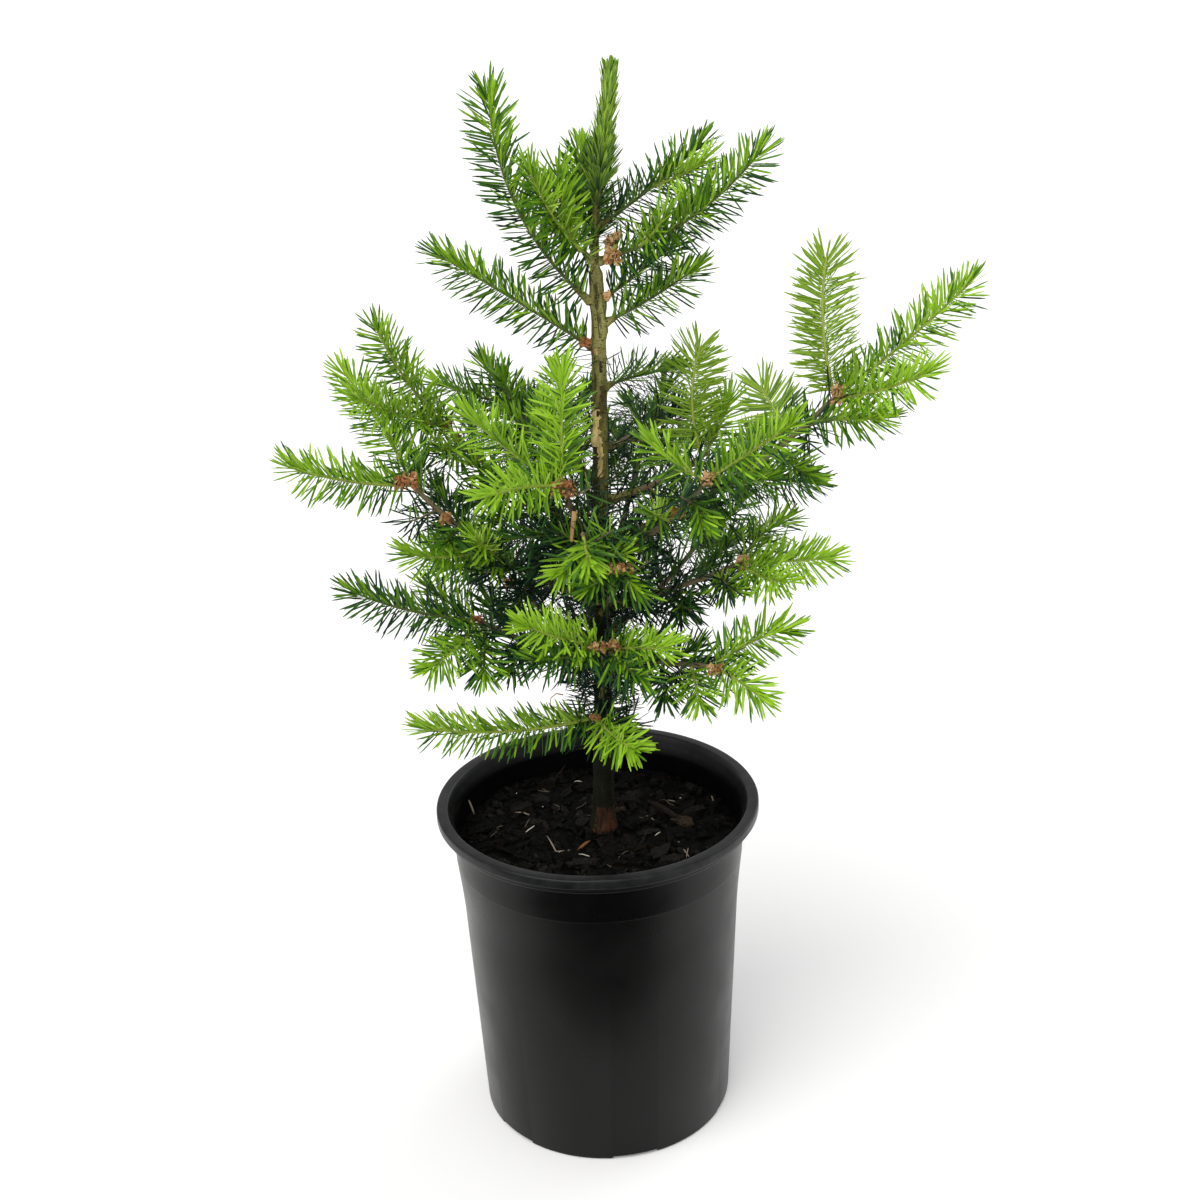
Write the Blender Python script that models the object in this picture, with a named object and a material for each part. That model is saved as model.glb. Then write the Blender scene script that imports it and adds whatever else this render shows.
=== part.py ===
"""A young balsam fir in its black nursery pot, as separate solids.

The pot stands on its flat underside at the origin, +Z up, in metres.
The trunk rises whole through the crown. Boughs leave it a small gap clear, and each
ends where its mass of foliage begins. A mass is one stem with side shoots, each a
slim three-sided core that needles stand out of, all fused into one solid.
"""

import math
import random
from collections import Counter
from dataclasses import dataclass, field, replace

import bmesh
import bpy
import numpy as np
from mathutils import Vector

MM = 0.001
GAP = 0.3
UP = Vector((0.0, 0.0, 1.0))

# The pot, in millimetres: radii of its outer wall and lip, and the heights they change at.
POT_HEIGHT = 175.5
POT_BASE_RADIUS = 65.6
POT_WALL_TOP_RADIUS = 72.0
POT_COLLAR_RADIUS = 74.4
POT_LIP_RADIUS = 82.3
POT_BORE_TOP_RADIUS = 76.4
POT_COLLAR_HEIGHT = 141.0
POT_BORE_STEP_HEIGHT = 166.0
POT_LIP_STEP_HEIGHT = 167.0
POT_LIP_HEIGHT = 170.5
POT_WALL = 1.4
POT_FLOOR = 3.2
POT_STEPS = 40
NOTCH_COUNT = 6
NOTCH_ANGLE = 21.0
NOTCH_HEIGHT = 2.0
NOTCH_INNER_RADIUS = 59.0
NOTCH_OUTER_RADIUS = 75.6
NOTCH_TURN = 11.0
POT_FOOT_ROUND = 1.0
POT_COLLAR_SLOPE = 2.0
POT_COLLAR_TAPER = 0.6
POT_LIP_ROUND = 1.2
POT_LIP_UNDERCUT = 2.3
POT_LIP_SKIRT = 2.0
POT_BORE_SLOPE = 0.8

# The potting mix: level at the wall, a little higher round the trunk.
SOIL_LEVEL = 158.0
SOIL_EDGE_DROP = 2.5
SOIL_CREST_RADIUS = 14.0
SOIL_SHOULDER_RADIUS = 30.0
SOIL_SHOULDER_DROP = 0.8
SOIL_RISE_SHARE = 0.72
SOIL_RISE = 0.7
SOIL_STEPS = 24

# The trunk, in millimetres above the mix: how far its axis stands off the pot's axis.
TRUNK_LINE = (
    (0.0, 2.6),
    (95.0, 5.6),
    (200.0, 7.8),
    (272.0, 9.4),
    (296.0, 7.9),
    (320.0, 10.6),
    (371.0, 18.0),
)
TRUNK_EASING = 12.0
TRUNK_EASING_SAMPLES = 7
TRUNK_FLARE_RINGS = (0.3, 3.0, 8.0)
TRUNK_FOOT_RADIUS = 4.4
TRUNK_FLARE = 1.8
TRUNK_FLARE_HEIGHT = 9.0
TRUNK_WHORL_RADIUS = 3.2
TRUNK_WHORL_HEIGHT = 285.0
LEADER_BASE_HEIGHT = 288.0
LEADER_BASE_RADIUS = 2.1
LEADER_TIP_RADIUS = 0.8
TRUNK_SIDES = 8
TRUNK_STEP = 18.0

# Limbs, twigs and needles, in millimetres.
LIMB_BASE_RADIUS = 2.3
LIMB_TIP_RADIUS = 1.5
LIMB_SIDES = 6
LIMB_STEP = 15.0
CORE_BASE_RADIUS = 1.3
CORE_TIP_RADIUS = 0.7
CORE_STEP = 7.9
CORE_RODS = 8
NEEDLE_LENGTH = 17.0
UPPER_NEEDLE_SHARE = 0.85
TIP_NEEDLE_SHARE = 0.65
NEEDLE_RADIUS = 1.9
OWN_CLEARANCE = -0.9
NEEDLE_POINT_RADIUS = 0.15
NEEDLE_SHORTEST = 0.9
NEEDLE_ROOT_SHARE = 0.7
NEEDLE_ROOT_GAIN = 2.0
NEEDLE_TAKEN_FROM = 0.2
NEEDLE_FREE_FROM = 0.25
OWN_FREE_FROM = 0.35
TIP_NEEDLES = 7.0
TIP_SPREAD = 6.0
END_NEEDLE = 7.7
SIDE_SPREAD = (72.0, 46.0)
UPPER_SPREAD = (60.0, 38.0)
SIDE_LIFT = 2.0
UPPER_LIFT = 55.0
LOWER_LIFT = -50.0
SPREAD_WANDER = 6.0
LIFT_WANDER = 8.0
END_ALONG = 0.9
FREE_FROM = 0.12
FREE_STEPS = 6
SHOOT_CLEARANCE = 0.6
SUNK_ALONG = 0.98
ROOT_STAGGER = 0.45
ATTEMPT_TURN = 5.0
MOST_ATTEMPTS = 8
WELD = 0.000001
TURNED_SMOOTH_ANGLE = 40.0
WOOD_SMOOTH_ANGLE = 61.0
INWARD_LEAN = 0.3
LIGHT_SIDE = Vector((0.0, -0.9, 0.0))
SEED = 20


@dataclass
class Shoot:
    """A side shoot: heading, rise, length in mm, where along its bough it leaves, bend and roll."""

    azimuth: float
    rise: float
    length: float
    along: float = 1.0
    bend: float = 0.05
    roll: float = 0.0


@dataclass
class Bough:
    """A bough from the trunk to its end bud: a bare limb for its first share, then foliage."""

    name: str
    height: float
    azimuth: float
    rise: float
    length: float
    limb: float = 0.0
    bend: float = 0.05
    roll: float = 0.0
    shoots: tuple = field(default_factory=tuple)


# Boughs with a bare limb near the trunk, from the lowest up, then round the far side.
LIMBED_BOUGHS = (
    Bough("bottom", 50, -98, 50, 33, limb=0.5, shoots=(
        Shoot(-162, 8, 93, bend=0.055, roll=25),
        Shoot(-59, -3, 43),
    )),
    Bough("front_low", 77, -89, 50, 57, limb=0.3, shoots=(
        Shoot(-29, 10, 42),
        Shoot(-50, -16, 36),
        Shoot(-154, 28, 52),
        Shoot(-150, 6, 47),
    )),
    Bough("left_low", 97, -161, 27, 66, limb=0.25, shoots=(
        Shoot(-167, 22, 70),
        Shoot(157, 31, 37),
        Shoot(-123, -10, 49),
        Shoot(-91, -30, 38, along=0.95),
        Shoot(128, 37, 30, along=0.7),
        Shoot(-109, -11, 32, along=0.6),
    )),
    Bough("right_bottom", 97, -42, 10, 66, limb=0.3, bend=0.0, shoots=(
        Shoot(2, 23, 48, bend=-0.075),
        Shoot(-43, -18, 37, bend=-0.06),
        Shoot(-83, -23, 31, along=0.8),
        Shoot(11, 28, 22, along=0.6),
        Shoot(-92, -32, 28, along=0.55),
    )),
    Bough("front_middle", 121, -79, 48, 50, limb=0.35, shoots=(
        Shoot(-45, -33, 24),
        Shoot(-134, -11, 28),
    )),
    Bough("right_low", 126, -15, 20, 69, limb=0.25, bend=0.04, shoots=(
        Shoot(36, 22, 41, bend=-0.12),
        Shoot(-8, 4, 51, bend=0.0),
        Shoot(-54, 2, 40),
        Shoot(-69, 0, 29, along=0.8),
        Shoot(46, 29, 35, along=0.65),
        Shoot(-88, -23, 24, along=0.55),
    )),
    Bough("left_far", 126, -176, 38, 109, limb=0.25, bend=0.06, shoots=(
        Shoot(-159, 9, 47, along=0.53, bend=0.09),
        Shoot(137, 42, 39, along=0.62),
        Shoot(148, 54, 68, bend=-0.06),
        Shoot(-162, 18, 68),
        Shoot(93, 36, 28, along=0.93),
        Shoot(-104, -5, 26, along=0.72),
        Shoot(-123, 40, 45, along=0.42),
    )),
    Bough("front", 145, -102, 39, 47, limb=0.3, shoots=(
        Shoot(-82, -25, 26),
        Shoot(-146, -31, 26, along=0.8),
        Shoot(-33, 5, 28, along=0.7),
    )),
    Bough("front_left", 154, -120, 54, 53, limb=0.35, shoots=(
        Shoot(76, 80, 59, bend=0.0),
        Shoot(106, 50, 48),
        Shoot(158, 36, 66, along=0.9, bend=0.02),
        Shoot(-141, 5, 51, bend=-0.05),
    )),
    Bough("front_right", 149, -41, 40, 79, limb=0.25, shoots=(
        Shoot(-21, 36, 57, bend=0.0),
        Shoot(157, 34, 38),
        Shoot(0, 6, 38, along=0.95),
        Shoot(-75, -35, 24, along=0.85),
        Shoot(-113, 30, 30, along=0.6),
    )),
    Bough("left_high", 157, 153, 32, 94, limb=0.2, shoots=(
        Shoot(-136, 57, 76),
        Shoot(-126, 27, 79, bend=0.025),
        Shoot(-115, 14, 30, along=0.86),
        Shoot(93, 29, 44, along=0.8),
        Shoot(-163, -11, 27, along=0.55),
        Shoot(86, 30, 40, along=0.5),
    )),
    Bough("right_far", 157, -8, 34, 131, limb=0.2, bend=0.06, shoots=(
        Shoot(130, 44, 36, along=0.78, roll=180),
        Shoot(-24, 6, 41, along=0.86, bend=0.0),
        Shoot(165, 87, 71, bend=0.06, roll=180),
        Shoot(2, 40, 87, bend=0.02),
        Shoot(-38, 23, 58),
        Shoot(-39, -19, 30, along=0.7),
        Shoot(71, 24, 40, along=0.55),
        Shoot(-95, -20, 24, along=0.45),
    )),
    Bough("right_middle", 177, 11, 21, 52, limb=0.3, shoots=(
        Shoot(-5, 88, 60, along=0.95, bend=-0.09, roll=180),
        Shoot(8, 67, 37),
        Shoot(1, -12, 66, along=0.9),
        Shoot(24, -60, 22, along=0.7),
    )),
    Bough("back_left", 187, 125, 20, 82, limb=0.2, bend=0.06, shoots=(
        Shoot(153, 56, 26),
        Shoot(165, 15, 48, along=0.9),
        Shoot(94, 15, 40, along=0.7),
        Shoot(170, 10, 30, along=0.5),
    )),
    Bough("back_right", 202, 59, 0, 52, limb=0.25, bend=0.03, shoots=(
        Shoot(45, 5, 36),
        Shoot(68, 39, 30),
        Shoot(102, 8, 42, along=0.8),
    )),
    Bough("back_low", 84, 97, 24, 66, limb=0.25, shoots=(
        Shoot(56, 14, 44),
        Shoot(96, 26, 50),
        Shoot(134, 14, 42),
    )),
    Bough("back_right_low", 108, 42, 24, 68, limb=0.25, shoots=(
        Shoot(104, 34, 34, along=0.6),
        Shoot(8, 12, 40),
        Shoot(42, 26, 50),
        Shoot(78, 16, 42),
    )),
    Bough("back_left_low", 104, 146, 24, 66, limb=0.25, shoots=(
        Shoot(84, 34, 34, along=0.6),
        Shoot(108, 14, 42),
        Shoot(146, 24, 44),
        Shoot(180, 12, 36),
    )),
    Bough("back_middle", 138, 72, 30, 72, limb=0.2, shoots=(
        Shoot(36, 16, 44),
        Shoot(72, 30, 50),
        Shoot(108, 20, 42),
    )),
    Bough("back_high", 165, 104, 32, 68, limb=0.2, shoots=(
        Shoot(66, 18, 40),
        Shoot(100, 34, 42),
        Shoot(148, 24, 36, along=0.85),
    )),
)

# Shoots whose foliage starts at the trunk's own bark.
TRUNK_SHOOTS = (
    Bough("middle_right", 232, 40, -2, 54, bend=-0.04),
    Bough("upper_left", 252, -176, 34, 88, bend=-0.005),
    Bough("upper_right", 263, 1, 30, 54, bend=0.03),
    Bough("upper_right_back", 274, 19, 32, 48, bend=0.02),
    Bough("top_left", 273, -168, 68, 110, bend=0.115),
    Bough("top_front", 292, -131, 51, 67, bend=0.07),
    Bough("top_right_long", 291, -13, 35, 95, bend=0.085),
    Bough("top_back", 297, 95, 59, 55),
    Bough("top_right", 307, 17, 34, 66, bend=0.03, shoots=(
        Shoot(-20, 28, 34, along=0.45),
    )),
)

DEAD_TWIG = Bough("dead_twig", 88, 22, 34, 55, limb=1.0)
DEAD_TWIG_BASE_RADIUS = 0.9
DEAD_TWIG_TIP_RADIUS = 0.54

LEADER_SLEEVE_BOTTOM = 313.0
LEADER_SLEEVE_WALL = 0.7
LEADER_NEEDLE_STEP = 6.0
LEADER_SIDES = 5
LEADER_SPREAD = (62.0, 20.0)
LEADER_NEEDLE_LENGTH = 13.0
LEADER_TIP_NEEDLE = 9.0


def direction(azimuth, rise):
    """The unit vector at an azimuth from +X and a rise from level, both in degrees."""
    turn = math.radians(azimuth)
    lift = math.radians(rise)
    return Vector((math.cos(turn) * math.cos(lift), math.sin(turn) * math.cos(lift), math.sin(lift)))


def square_to(vector, axis):
    """The part of a vector that stands square to an axis, made one long."""
    return (vector - axis * vector.dot(axis)).normalized()


class Path:
    """A smooth curve from a start to an end whose middle hangs below the straight line."""

    def __init__(self, start, azimuth, rise, length, bend):
        heading = direction(azimuth, rise)
        below = -square_to(UP, heading)
        self.start = start
        self.end = start + heading * length
        self.middle = (self.start + self.end) / 2 + below * (2 * bend * length)
        self.length = length

    def point(self, t):
        """The point at a share t of the way."""
        return self.start * (1 - t) ** 2 + self.middle * (2 * t * (1 - t)) + self.end * t ** 2

    def heading(self, t):
        """The direction of travel at a share t of the way."""
        return ((self.middle - self.start) * (1 - t) + (self.end - self.middle) * t).normalized()


def trunk_offset(height):
    """How far the trunk's axis stands off the pot's axis at a height above the mix."""
    heights, offsets = zip(*TRUNK_LINE)
    samples = np.linspace(height - TRUNK_EASING, height + TRUNK_EASING, TRUNK_EASING_SAMPLES)
    return float(np.mean(np.interp(samples, heights, offsets)))


def trunk_point(height):
    """The point of the trunk's axis at a height above the mix."""
    return Vector((trunk_offset(height), 0.0, SOIL_LEVEL + height))


def trunk_radius(height):
    """The trunk's radius: a flared foot, an even taper, then the slimmer leader."""
    heights = (0.0, TRUNK_WHORL_HEIGHT, LEADER_BASE_HEIGHT, TRUNK_LINE[-1][0])
    radii = (TRUNK_FOOT_RADIUS, TRUNK_WHORL_RADIUS, LEADER_BASE_RADIUS, LEADER_TIP_RADIUS)
    return float(np.interp(height, heights, radii)) + TRUNK_FLARE * math.exp(-height / TRUNK_FLARE_HEIGHT)


class Space:
    """The room that is taken: tapering rods, each with the name of the solid it belongs to."""

    def __init__(self):
        self.rods = []
        self.owners = []
        self.stack = None

    def add(self, owner, start, end, start_radius, end_radius):
        """Takes the room of one rod."""
        self.rods.append((*start, *end, start_radius, end_radius))
        self.owners.append(owner)
        self.stack = None

    def release(self, count):
        """Gives back all rods taken after the first few."""
        del self.rods[count:]
        del self.owners[count:]
        self.stack = None

    def add_path(self, owner, core):
        """Takes the room of a core, as rods along its path."""
        for i in range(CORE_RODS):
            a, b = i / CORE_RODS, (i + 1) / CORE_RODS
            points = [core.path.point(core.start + (core.end - core.start) * share) for share in (a, b)]
            self.add(owner, *points, core.radius(a), core.radius(b))

    def clearance(self, start, end, start_radius, end_radius, owner, same):
        """The least room between a new rod and the rods of other solids, or of the same one."""
        if self.stack is None:
            self.stack = (np.array(self.rods), np.array(self.owners))
        rods, owners = self.stack
        rods = rods[(owners == owner) == same]
        if not len(rods):
            return math.inf
        p, q = np.array(start), rods[:, 0:3]
        u, v = np.array(end) - p, rods[:, 3:6] - q
        w = p - q
        uu, vv = u @ u, np.einsum("ij,ij->i", v, v)
        uv, uw, vw = v @ u, w @ u, np.einsum("ij,ij->i", v, w)
        level = np.maximum(uu * vv - uv * uv, 1e-9)
        s = np.clip((uv * vw - vv * uw) / level, 0, 1)
        t = np.clip((uv * s + vw) / vv, 0, 1)
        s = np.clip((uv * t - uw) / uu, 0, 1)
        apart = np.linalg.norm(w + s[:, None] * u - t[:, None] * v, axis=1)
        own = start_radius + (end_radius - start_radius) * s
        other = rods[:, 6] + (rods[:, 7] - rods[:, 6]) * t
        return float((apart - own - other).min())


def ring(bm, centre, across, above, radius, sides):
    """A closed ring of vertices, the first at the top."""
    angles = [2 * math.pi * i / sides for i in range(sides)]
    return [bm.verts.new((centre + (across * math.sin(a) + above * math.cos(a)) * radius) * MM)
            for a in angles]


def skin(bm, rings):
    """Triangles between each ring and the next: for each side its lower and its upper one."""
    pairs = []
    for below, over in zip(rings, rings[1:]):
        sides = len(below)
        for i in range(sides):
            j = (i + 1) % sides
            lower = bm.faces.new((below[i], below[j], over[j]))
            upper = bm.faces.new((below[i], over[j], over[i]))
            pairs.append((lower, upper))
    return pairs


def object_from(bm, name, smooth_angle=None):
    """A new object in the scene, from a bmesh whose normals are made to face out."""
    bmesh.ops.recalc_face_normals(bm, faces=bm.faces)
    if bm.calc_volume(signed=True) < 0:
        bmesh.ops.reverse_faces(bm, faces=bm.faces)
    mesh = bpy.data.meshes.new(name)
    bm.to_mesh(mesh)
    bm.free()
    obj = bpy.data.objects.new(name, mesh)
    bpy.context.scene.collection.objects.link(obj)
    if smooth_angle is not None:
        mesh.shade_smooth()
        mesh.set_sharp_from_angle(angle=math.radians(smooth_angle))
    return obj


def material(name, colour, roughness):
    """A Principled BSDF material of one plain colour."""
    made = bpy.data.materials.new(name)
    made.use_nodes = True
    shader = made.node_tree.nodes["Principled BSDF"]
    shader.inputs["Base Color"].default_value = (*colour, 1.0)
    shader.inputs["Roughness"].default_value = roughness
    shader.inputs["Metallic"].default_value = 0.0
    return made


def turned(name, profile, steps):
    """A solid turned round +Z from (radius, height) points in mm, outer side first."""
    bm = bmesh.new()
    rings = []
    for radius, height in profile:
        if radius == 0:
            rings.append([bm.verts.new((0, 0, height * MM))])
            continue
        centre = Vector((0, 0, height))
        rings.append(ring(bm, centre, Vector((1, 0, 0)), Vector((0, 1, 0)), radius, steps))
    for below, over in zip(rings, rings[1:]):
        for i in range(steps):
            j = (i + 1) % steps
            corners = (below[i % len(below)], below[j % len(below)], over[j % len(over)], over[i % len(over)])
            bm.faces.new(list(dict.fromkeys(corners)))
    return object_from(bm, name, TURNED_SMOOTH_ANGLE)


def cut(target, cutter):
    """Cuts one solid from another, and removes the cutter."""
    change = target.modifiers.new("cut", "BOOLEAN")
    change.operation = "DIFFERENCE"
    change.solver = "EXACT"
    change.object = cutter
    apply_modifiers(target)
    bpy.data.objects.remove(cutter)


def apply_modifiers(obj):
    """Replaces an object's mesh by its evaluated one."""
    bpy.context.view_layer.update()
    graph = bpy.context.evaluated_depsgraph_get()
    mesh = bpy.data.meshes.new_from_object(obj.evaluated_get(graph))
    obj.modifiers.clear()
    obj.data = mesh


def notch_cutter(turn):
    """A block that cuts one drain notch into the edge of the pot's underside."""
    bm = bmesh.new()
    inner, outer, half = NOTCH_INNER_RADIUS, NOTCH_OUTER_RADIUS, NOTCH_ANGLE / 2
    base = []
    for angle, radius in ((-half, inner), (half, inner), (half, outer), (-half, outer)):
        heading = math.radians(turn + angle)
        base.append((radius * math.cos(heading) * MM, radius * math.sin(heading) * MM))
    below = -NOTCH_HEIGHT
    lower, upper = ([bm.verts.new((x, y, z * MM)) for x, y in base] for z in (below, NOTCH_HEIGHT))
    bm.faces.new(lower)
    bm.faces.new(upper)
    for i in range(4):
        j = (i + 1) % 4
        bm.faces.new((lower[i], lower[j], upper[j], upper[i]))
    return object_from(bm, "notch_cutter")


def make_pot(finish):
    """The open pot: flat underside with drain notches, tapered wall, collar and rolled lip."""
    bore = POT_BORE_TOP_RADIUS
    inner_collar = POT_COLLAR_RADIUS - POT_WALL
    wall_top = POT_COLLAR_HEIGHT - POT_COLLAR_SLOPE
    profile = (
        (0, 0), (POT_BASE_RADIUS - POT_FOOT_ROUND, 0), (POT_BASE_RADIUS, POT_FOOT_ROUND),
        (POT_WALL_TOP_RADIUS, wall_top), (POT_COLLAR_RADIUS - POT_COLLAR_TAPER, POT_COLLAR_HEIGHT),
        (POT_COLLAR_RADIUS, POT_LIP_STEP_HEIGHT), (POT_LIP_RADIUS - POT_LIP_UNDERCUT, POT_LIP_STEP_HEIGHT),
        (POT_LIP_RADIUS - POT_LIP_SKIRT, POT_LIP_HEIGHT), (POT_LIP_RADIUS, POT_LIP_HEIGHT),
        (POT_LIP_RADIUS, POT_HEIGHT - POT_LIP_ROUND), (POT_LIP_RADIUS - POT_LIP_ROUND, POT_HEIGHT),
        (bore, POT_HEIGHT), (bore - POT_BORE_SLOPE, POT_HEIGHT - POT_LIP_SKIRT),
        (inner_collar, POT_BORE_STEP_HEIGHT),
        (POT_WALL_TOP_RADIUS - POT_WALL, wall_top), (POT_BASE_RADIUS - POT_WALL, POT_FLOOR), (0, POT_FLOOR),
    )
    pot = turned("pot", profile, POT_STEPS)
    for i in range(NOTCH_COUNT):
        cut(pot, notch_cutter(-90 + NOTCH_TURN + i * 360 / NOTCH_COUNT))
    pot.data.materials.append(finish)
    return pot


def pot_bore_radius(height):
    """The radius of the pot's inner wall at a height."""
    heights = (POT_FLOOR, POT_COLLAR_HEIGHT - POT_COLLAR_SLOPE, POT_BORE_STEP_HEIGHT)
    radii = (POT_BASE_RADIUS - POT_WALL, POT_WALL_TOP_RADIUS - POT_WALL, POT_COLLAR_RADIUS - POT_WALL)
    return float(np.interp(height, heights, radii))


def make_soil(finish):
    """The potting mix that fills the pot, a gap clear of the wall and the floor."""
    clear = 2 * GAP
    edge = SOIL_LEVEL - SOIL_EDGE_DROP
    bottom = POT_FLOOR + GAP
    bend_height = POT_COLLAR_HEIGHT - POT_COLLAR_SLOPE
    profile = (
        (0, bottom), (pot_bore_radius(bottom) - clear, bottom),
        (pot_bore_radius(bend_height) - clear, bend_height), (pot_bore_radius(edge) - clear, edge),
        (pot_bore_radius(edge) * SOIL_RISE_SHARE, edge + SOIL_RISE),
        (SOIL_SHOULDER_RADIUS, SOIL_LEVEL - SOIL_SHOULDER_DROP),
        (SOIL_CREST_RADIUS, SOIL_LEVEL), (0, SOIL_LEVEL),
    )
    soil = turned("potting_mix", profile, SOIL_STEPS)
    soil.data.materials.append(finish)
    return soil


def make_trunk(space, finish):
    """The trunk, whole from its flat cut on the mix to the leader's tip."""
    bm = bmesh.new()
    *heights, flare_top = TRUNK_FLARE_RINGS
    for bottom, top in ((flare_top, TRUNK_WHORL_HEIGHT), (LEADER_BASE_HEIGHT, TRUNK_LINE[-1][0])):
        count = round((top - bottom) / TRUNK_STEP)
        heights += [bottom + (top - bottom) * i / count for i in range(count + 1)]
    across, above = Vector((1, 0, 0)), Vector((0, 1, 0))
    rings = [ring(bm, trunk_point(h), across, above, trunk_radius(h), TRUNK_SIDES) for h in heights]
    skin(bm, rings)
    bm.faces.new(rings[0])
    bm.faces.new(rings[-1])
    for low, high in zip(heights, heights[1:]):
        space.add("trunk", trunk_point(low), trunk_point(high), trunk_radius(low), trunk_radius(high))
    trunk = object_from(bm, "trunk", WOOD_SMOOTH_ANGLE)
    trunk.data.materials.append(finish)
    return trunk


def bough_path(bough):
    """A bough's curve, from a gap clear of the trunk's bark to its end bud."""
    root = direction(bough.azimuth, 0) * (trunk_radius(bough.height) + GAP)
    start = trunk_point(bough.height) + root
    return Path(start, bough.azimuth, bough.rise, bough.length, bough.bend)


def make_limb(bough, path, base_radius, tip_radius, space, finish):
    """The bare part of a bough: one tapering limb, with a flat root beside the trunk."""
    bm = bmesh.new()
    count = max(2, round(path.length * bough.limb / LIMB_STEP))
    rings = []
    for i in range(count + 1):
        share = i / count
        heading = direction(bough.azimuth, 0) if i == 0 else path.heading(share * bough.limb)
        above = square_to(UP, heading)
        radius = base_radius + (tip_radius - base_radius) * share
        centre = path.point(share * bough.limb)
        rings.append(ring(bm, centre, heading.cross(above), above, radius, LIMB_SIDES))
        if i:
            space.add(bough.name, last, centre, last_radius, radius)
        last, last_radius = centre, radius
    skin(bm, rings)
    bm.faces.new(rings[0])
    bm.faces.new(rings[-1])
    limb = object_from(bm, bough.name, WOOD_SMOOTH_ANGLE)
    limb.data.materials.append(finish)
    return limb


def upper_side(heading, azimuth, roll):
    """The direction a spray's upper side faces: up, in to the trunk and to the light, then rolled."""
    inward = -direction(azimuth, 0)
    above = square_to(UP + inward * INWARD_LEAN + LIGHT_SIDE, heading)
    turn = math.radians(roll)
    return above * math.cos(turn) + heading.cross(above) * math.sin(turn)


@dataclass
class Core:
    """The stretch of a path that one core follows, and how it starts and ends."""

    path: Path
    azimuth: float
    roll: float
    start: float = 0.0
    end: float = 1.0
    pointed: bool = True
    root_heading: Vector = None

    def radius(self, share):
        """The core's radius at a share of its own length."""
        tip = CORE_TIP_RADIUS if self.pointed else CORE_BASE_RADIUS
        return CORE_BASE_RADIUS + (tip - CORE_BASE_RADIUS) * share

    def length(self):
        """The core's length along its path."""
        return self.path.length * (self.end - self.start)


def plan_mass(name, bough, path, space):
    """The cores of one mass: its stem, then each side shoot that touches no other solid."""
    start = bough.limb + (GAP / path.length if bough.limb else 0.0)
    root_heading = path.heading(bough.limb) if bough.limb else direction(bough.azimuth, 0)
    tip = 1 - TIP_NEEDLES / path.length
    goes_on = any(shoot.along > END_ALONG for shoot in bough.shoots)
    end = 1.0 if goes_on else tip
    cores = [Core(path, bough.azimuth, bough.roll, start, end, not goes_on, root_heading)]
    for i, shoot in enumerate(bough.shoots):
        root = path.point(min(shoot.along, SUNK_ALONG) - i * ROOT_STAGGER / path.length)
        side = Path(root, shoot.azimuth, shoot.rise, shoot.length, shoot.bend)
        if free(name, side, space):
            cores.append(Core(side, shoot.azimuth, shoot.roll, 0.0, 1 - TIP_NEEDLES / shoot.length))
    for core in cores:
        space.add_path(name, core)
    return cores


def free(name, path, space):
    """Whether a side shoot's core keeps its gap to the solids of every other name."""
    steps = [FREE_FROM + (1 - FREE_FROM) * i / FREE_STEPS for i in range(FREE_STEPS + 1)]
    for a, b in zip(steps, steps[1:]):
        ends = (path.point(a), path.point(b), CORE_BASE_RADIUS, CORE_BASE_RADIUS)
        if space.clearance(*ends, name, same=False) < SHOOT_CLEARANCE:
            return False
    return True


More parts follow.
